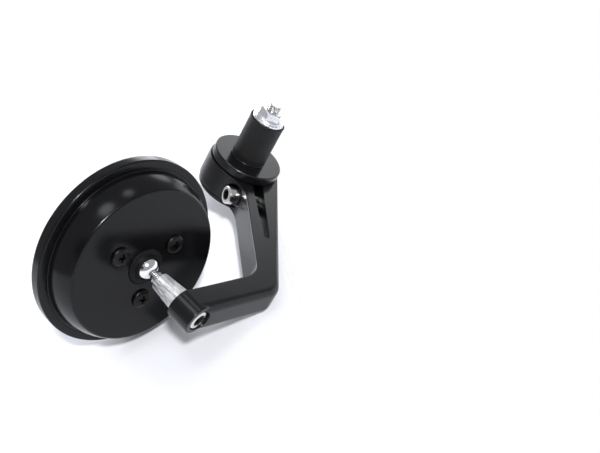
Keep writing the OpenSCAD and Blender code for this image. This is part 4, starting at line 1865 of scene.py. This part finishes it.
@dataclass(frozen=True)
class Studio:
    """The white table, the light round it, and the camera of the photograph.

    The object lies on its bezel, elbow and end cap, so the table isn't level with the room's soft boxes.
    Each box is an azimuth, an elevation, a width and a level; the one below zero is the photographer.
    """

    table_up: Triple = (-0.092, -0.595, 0.799)
    room_up: Triple = (-0.21, -0.414, 0.886)
    table_size: float = 3.0
    table_middle: Triple = (0.05, -0.03, 0.0)
    table_gap: float = 0.0003
    table_far_y: float = 19.0
    table_far_blend: float = 2.0
    table_white: Colour = (0.8, 0.81, 0.85)
    table_lift: float = 0.05
    camera_place: Triple = (0.3688, -0.1329, 0.2092)
    camera_ahead: Triple = (-0.7798, 0.371, -0.5043)
    camera_right: Triple = (0.133, 0.8853, 0.4456)
    lens_mm: float = 55.5
    room_white: Colour = (0.97, 0.985, 1.02)
    room_level: float = 0.42
    box_core: float = 0.55
    soft_boxes: tuple[tuple[float, float, float, float], ...] = (
        (-50.0, 17.0, 17.0, 6.5), (-28.0, 17.0, 17.0, 6.5), (-6.0, 15.0, 15.0, 4.0), (20.0, 27.0, 10.0, 2.2),
        (34.0, 9.0, 12.0, 1.2), (-163.0, 69.0, 11.0, 4.6), (67.0, 76.0, 7.0, 3.6), (155.0, 42.0, 16.0, 2.4),
        (-153.0, 17.0, 20.0, -0.36),
    )

    def build(self) -> None:
        """Sets the table, the world and the camera."""
        self._table()
        self._world()
        self._camera()
        bpy.context.scene.view_settings.view_transform = "Standard"

    def _table(self) -> None:
        """Lays the table under the object's lowest points."""
        up = Vector(self.table_up).normalized()
        points = (vertex.co for node in frame["nodes"].values() for vertex in node.data.vertices)
        lowest = min(up.dot(point) for point in points)
        middle = Vector(self.table_middle)
        middle += up * (lowest - up.dot(middle) - self.table_gap)
        turn = up.to_track_quat("Z", "Y").to_matrix().to_4x4()
        work = bmesh.new()
        bmesh.ops.create_grid(
            work, x_segments=1, y_segments=1, size=self.table_size / 2,
            matrix=Matrix.Translation(middle) @ turn,
        )
        mesh = bpy.data.meshes.new("table")
        work.to_mesh(mesh)
        work.free()
        mesh.materials.append(self._table_finish())
        linked("table", mesh)

    def _table_finish(self) -> Material:
        """White that only the camera and mirrored rays see lifted.

        Past the hub the camera looks through it, because the arm swings below it there.

        Returns:
            The material.
        """
        made = bpy.data.materials.new("table_white")
        made.use_nodes = True
        graph = Graph(made.node_tree)
        path = graph.add("ShaderNodeLightPath", output="Is Camera Ray")
        glossy = Value(graph, path.socket.node.outputs["Is Glossy Ray"])
        clear = Value(graph, path.socket.node.outputs["Is Transmission Ray"])
        seen = (path + glossy + clear).within(0.0, 1.0)
        place = graph.add("ShaderNodeTexCoord", output="Object")
        across = graph.add("ShaderNodeSeparateXYZ", {}, {0: place}, 1)
        far, blend = self.table_far_y, self.table_far_blend
        past_hub = across.within((far - blend) * MM, (far + blend) * MM)
        white = graph.add("ShaderNodeBsdfDiffuse", {}, {"Color": (*self.table_white, 1.0)})
        lift = graph.add(
            "ShaderNodeEmission", {}, {"Color": (1.0, 1.0, 1.0, 1.0), "Strength": seen * self.table_lift}
        )
        both = graph.add("ShaderNodeAddShader", {}, {0: white, 1: lift})
        below = graph.add("ShaderNodeNewGeometry", output="Backfacing")
        nothing = graph.add("ShaderNodeBsdfTransparent")
        open_share = (below + path * past_hub).within(0.0, 1.0)
        surface = graph.add("ShaderNodeMixShader", {}, {0: open_share, 1: both, 2: nothing})
        graph.add("ShaderNodeOutputMaterial", {}, {"Surface": surface})
        return made

    def _way(self, azimuth: float, elevation: float) -> Vector:
        """The direction at an angle right of the camera's heading and an angle above the room's floor.

        Args:
            azimuth: The angle to the right.
            elevation: The angle above the floor.

        Returns:
            The direction.
        """
        up = Vector(self.room_up).normalized()
        ahead = Vector(self.camera_ahead)
        ahead = (ahead - ahead.project(up)).normalized()
        turned = Matrix.Rotation(-math.radians(azimuth), 3, up) @ ahead
        return turned * math.cos(math.radians(elevation)) + up * math.sin(math.radians(elevation))

    def _world(self) -> None:
        """Lights the room with an even level and the soft boxes round the table."""
        world = bpy.data.worlds.new("room")
        bpy.context.scene.world = world
        world.use_nodes = True
        graph = Graph(world.node_tree)
        way = graph.add("ShaderNodeTexCoord", output="Generated")
        level: Number = self.room_level
        for azimuth, elevation, width, bright in self.soft_boxes:
            middle = {0: way, 1: self._way(azimuth, elevation)}
            near = graph.add("ShaderNodeVectorMath", {"operation": "DOT_PRODUCT"}, middle, "Value")
            edge, core = (math.cos(math.radians(width * share)) for share in (1.0, self.box_core))
            level = near.within(edge, core) * bright + level
        path = graph.add("ShaderNodeLightPath", output="Is Camera Ray")
        room = graph.add("ShaderNodeBackground", {}, {"Color": (*self.room_white, 1.0), "Strength": level})
        backdrop = graph.add("ShaderNodeBackground", {}, {"Color": (1.0, 1.0, 1.0, 1.0), "Strength": 1.0})
        both = graph.add("ShaderNodeMixShader", {}, {0: path, 1: room, 2: backdrop})
        graph.add("ShaderNodeOutputWorld", {}, {"Surface": both})

    def _camera(self) -> None:
        """Sets the camera where the photograph was taken from."""
        data = bpy.data.cameras.new("camera")
        data.sensor_fit = "HORIZONTAL"
        data.sensor_width = 36.0
        data.lens = self.lens_mm
        data.clip_start = 0.01
        data.clip_end = 20.0
        camera = linked("camera", data)
        back = -Vector(self.camera_ahead).normalized()
        right = Vector(self.camera_right)
        right = (right - right.project(back)).normalized()
        turn = Matrix((right, back.cross(right), back)).transposed().to_4x4()
        camera.matrix_world = Matrix.Translation(self.camera_place) @ turn
        bpy.context.scene.camera = camera


KEY_LAMP = Lamp("key", (0.599, -0.296, 0.744), 2.9, 6.0)


def main() -> None:
    """Builds the mirror and its studio."""
    logging.basicConfig(level=logging.INFO, format="%(message)s")
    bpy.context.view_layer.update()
    BarPlug().build()
    ClampArm().build()
    BallStud().build()
    MirrorHead().build()
    Studio().build()
    KEY_LAMP.build()


if __name__ == "__main__":
    main()
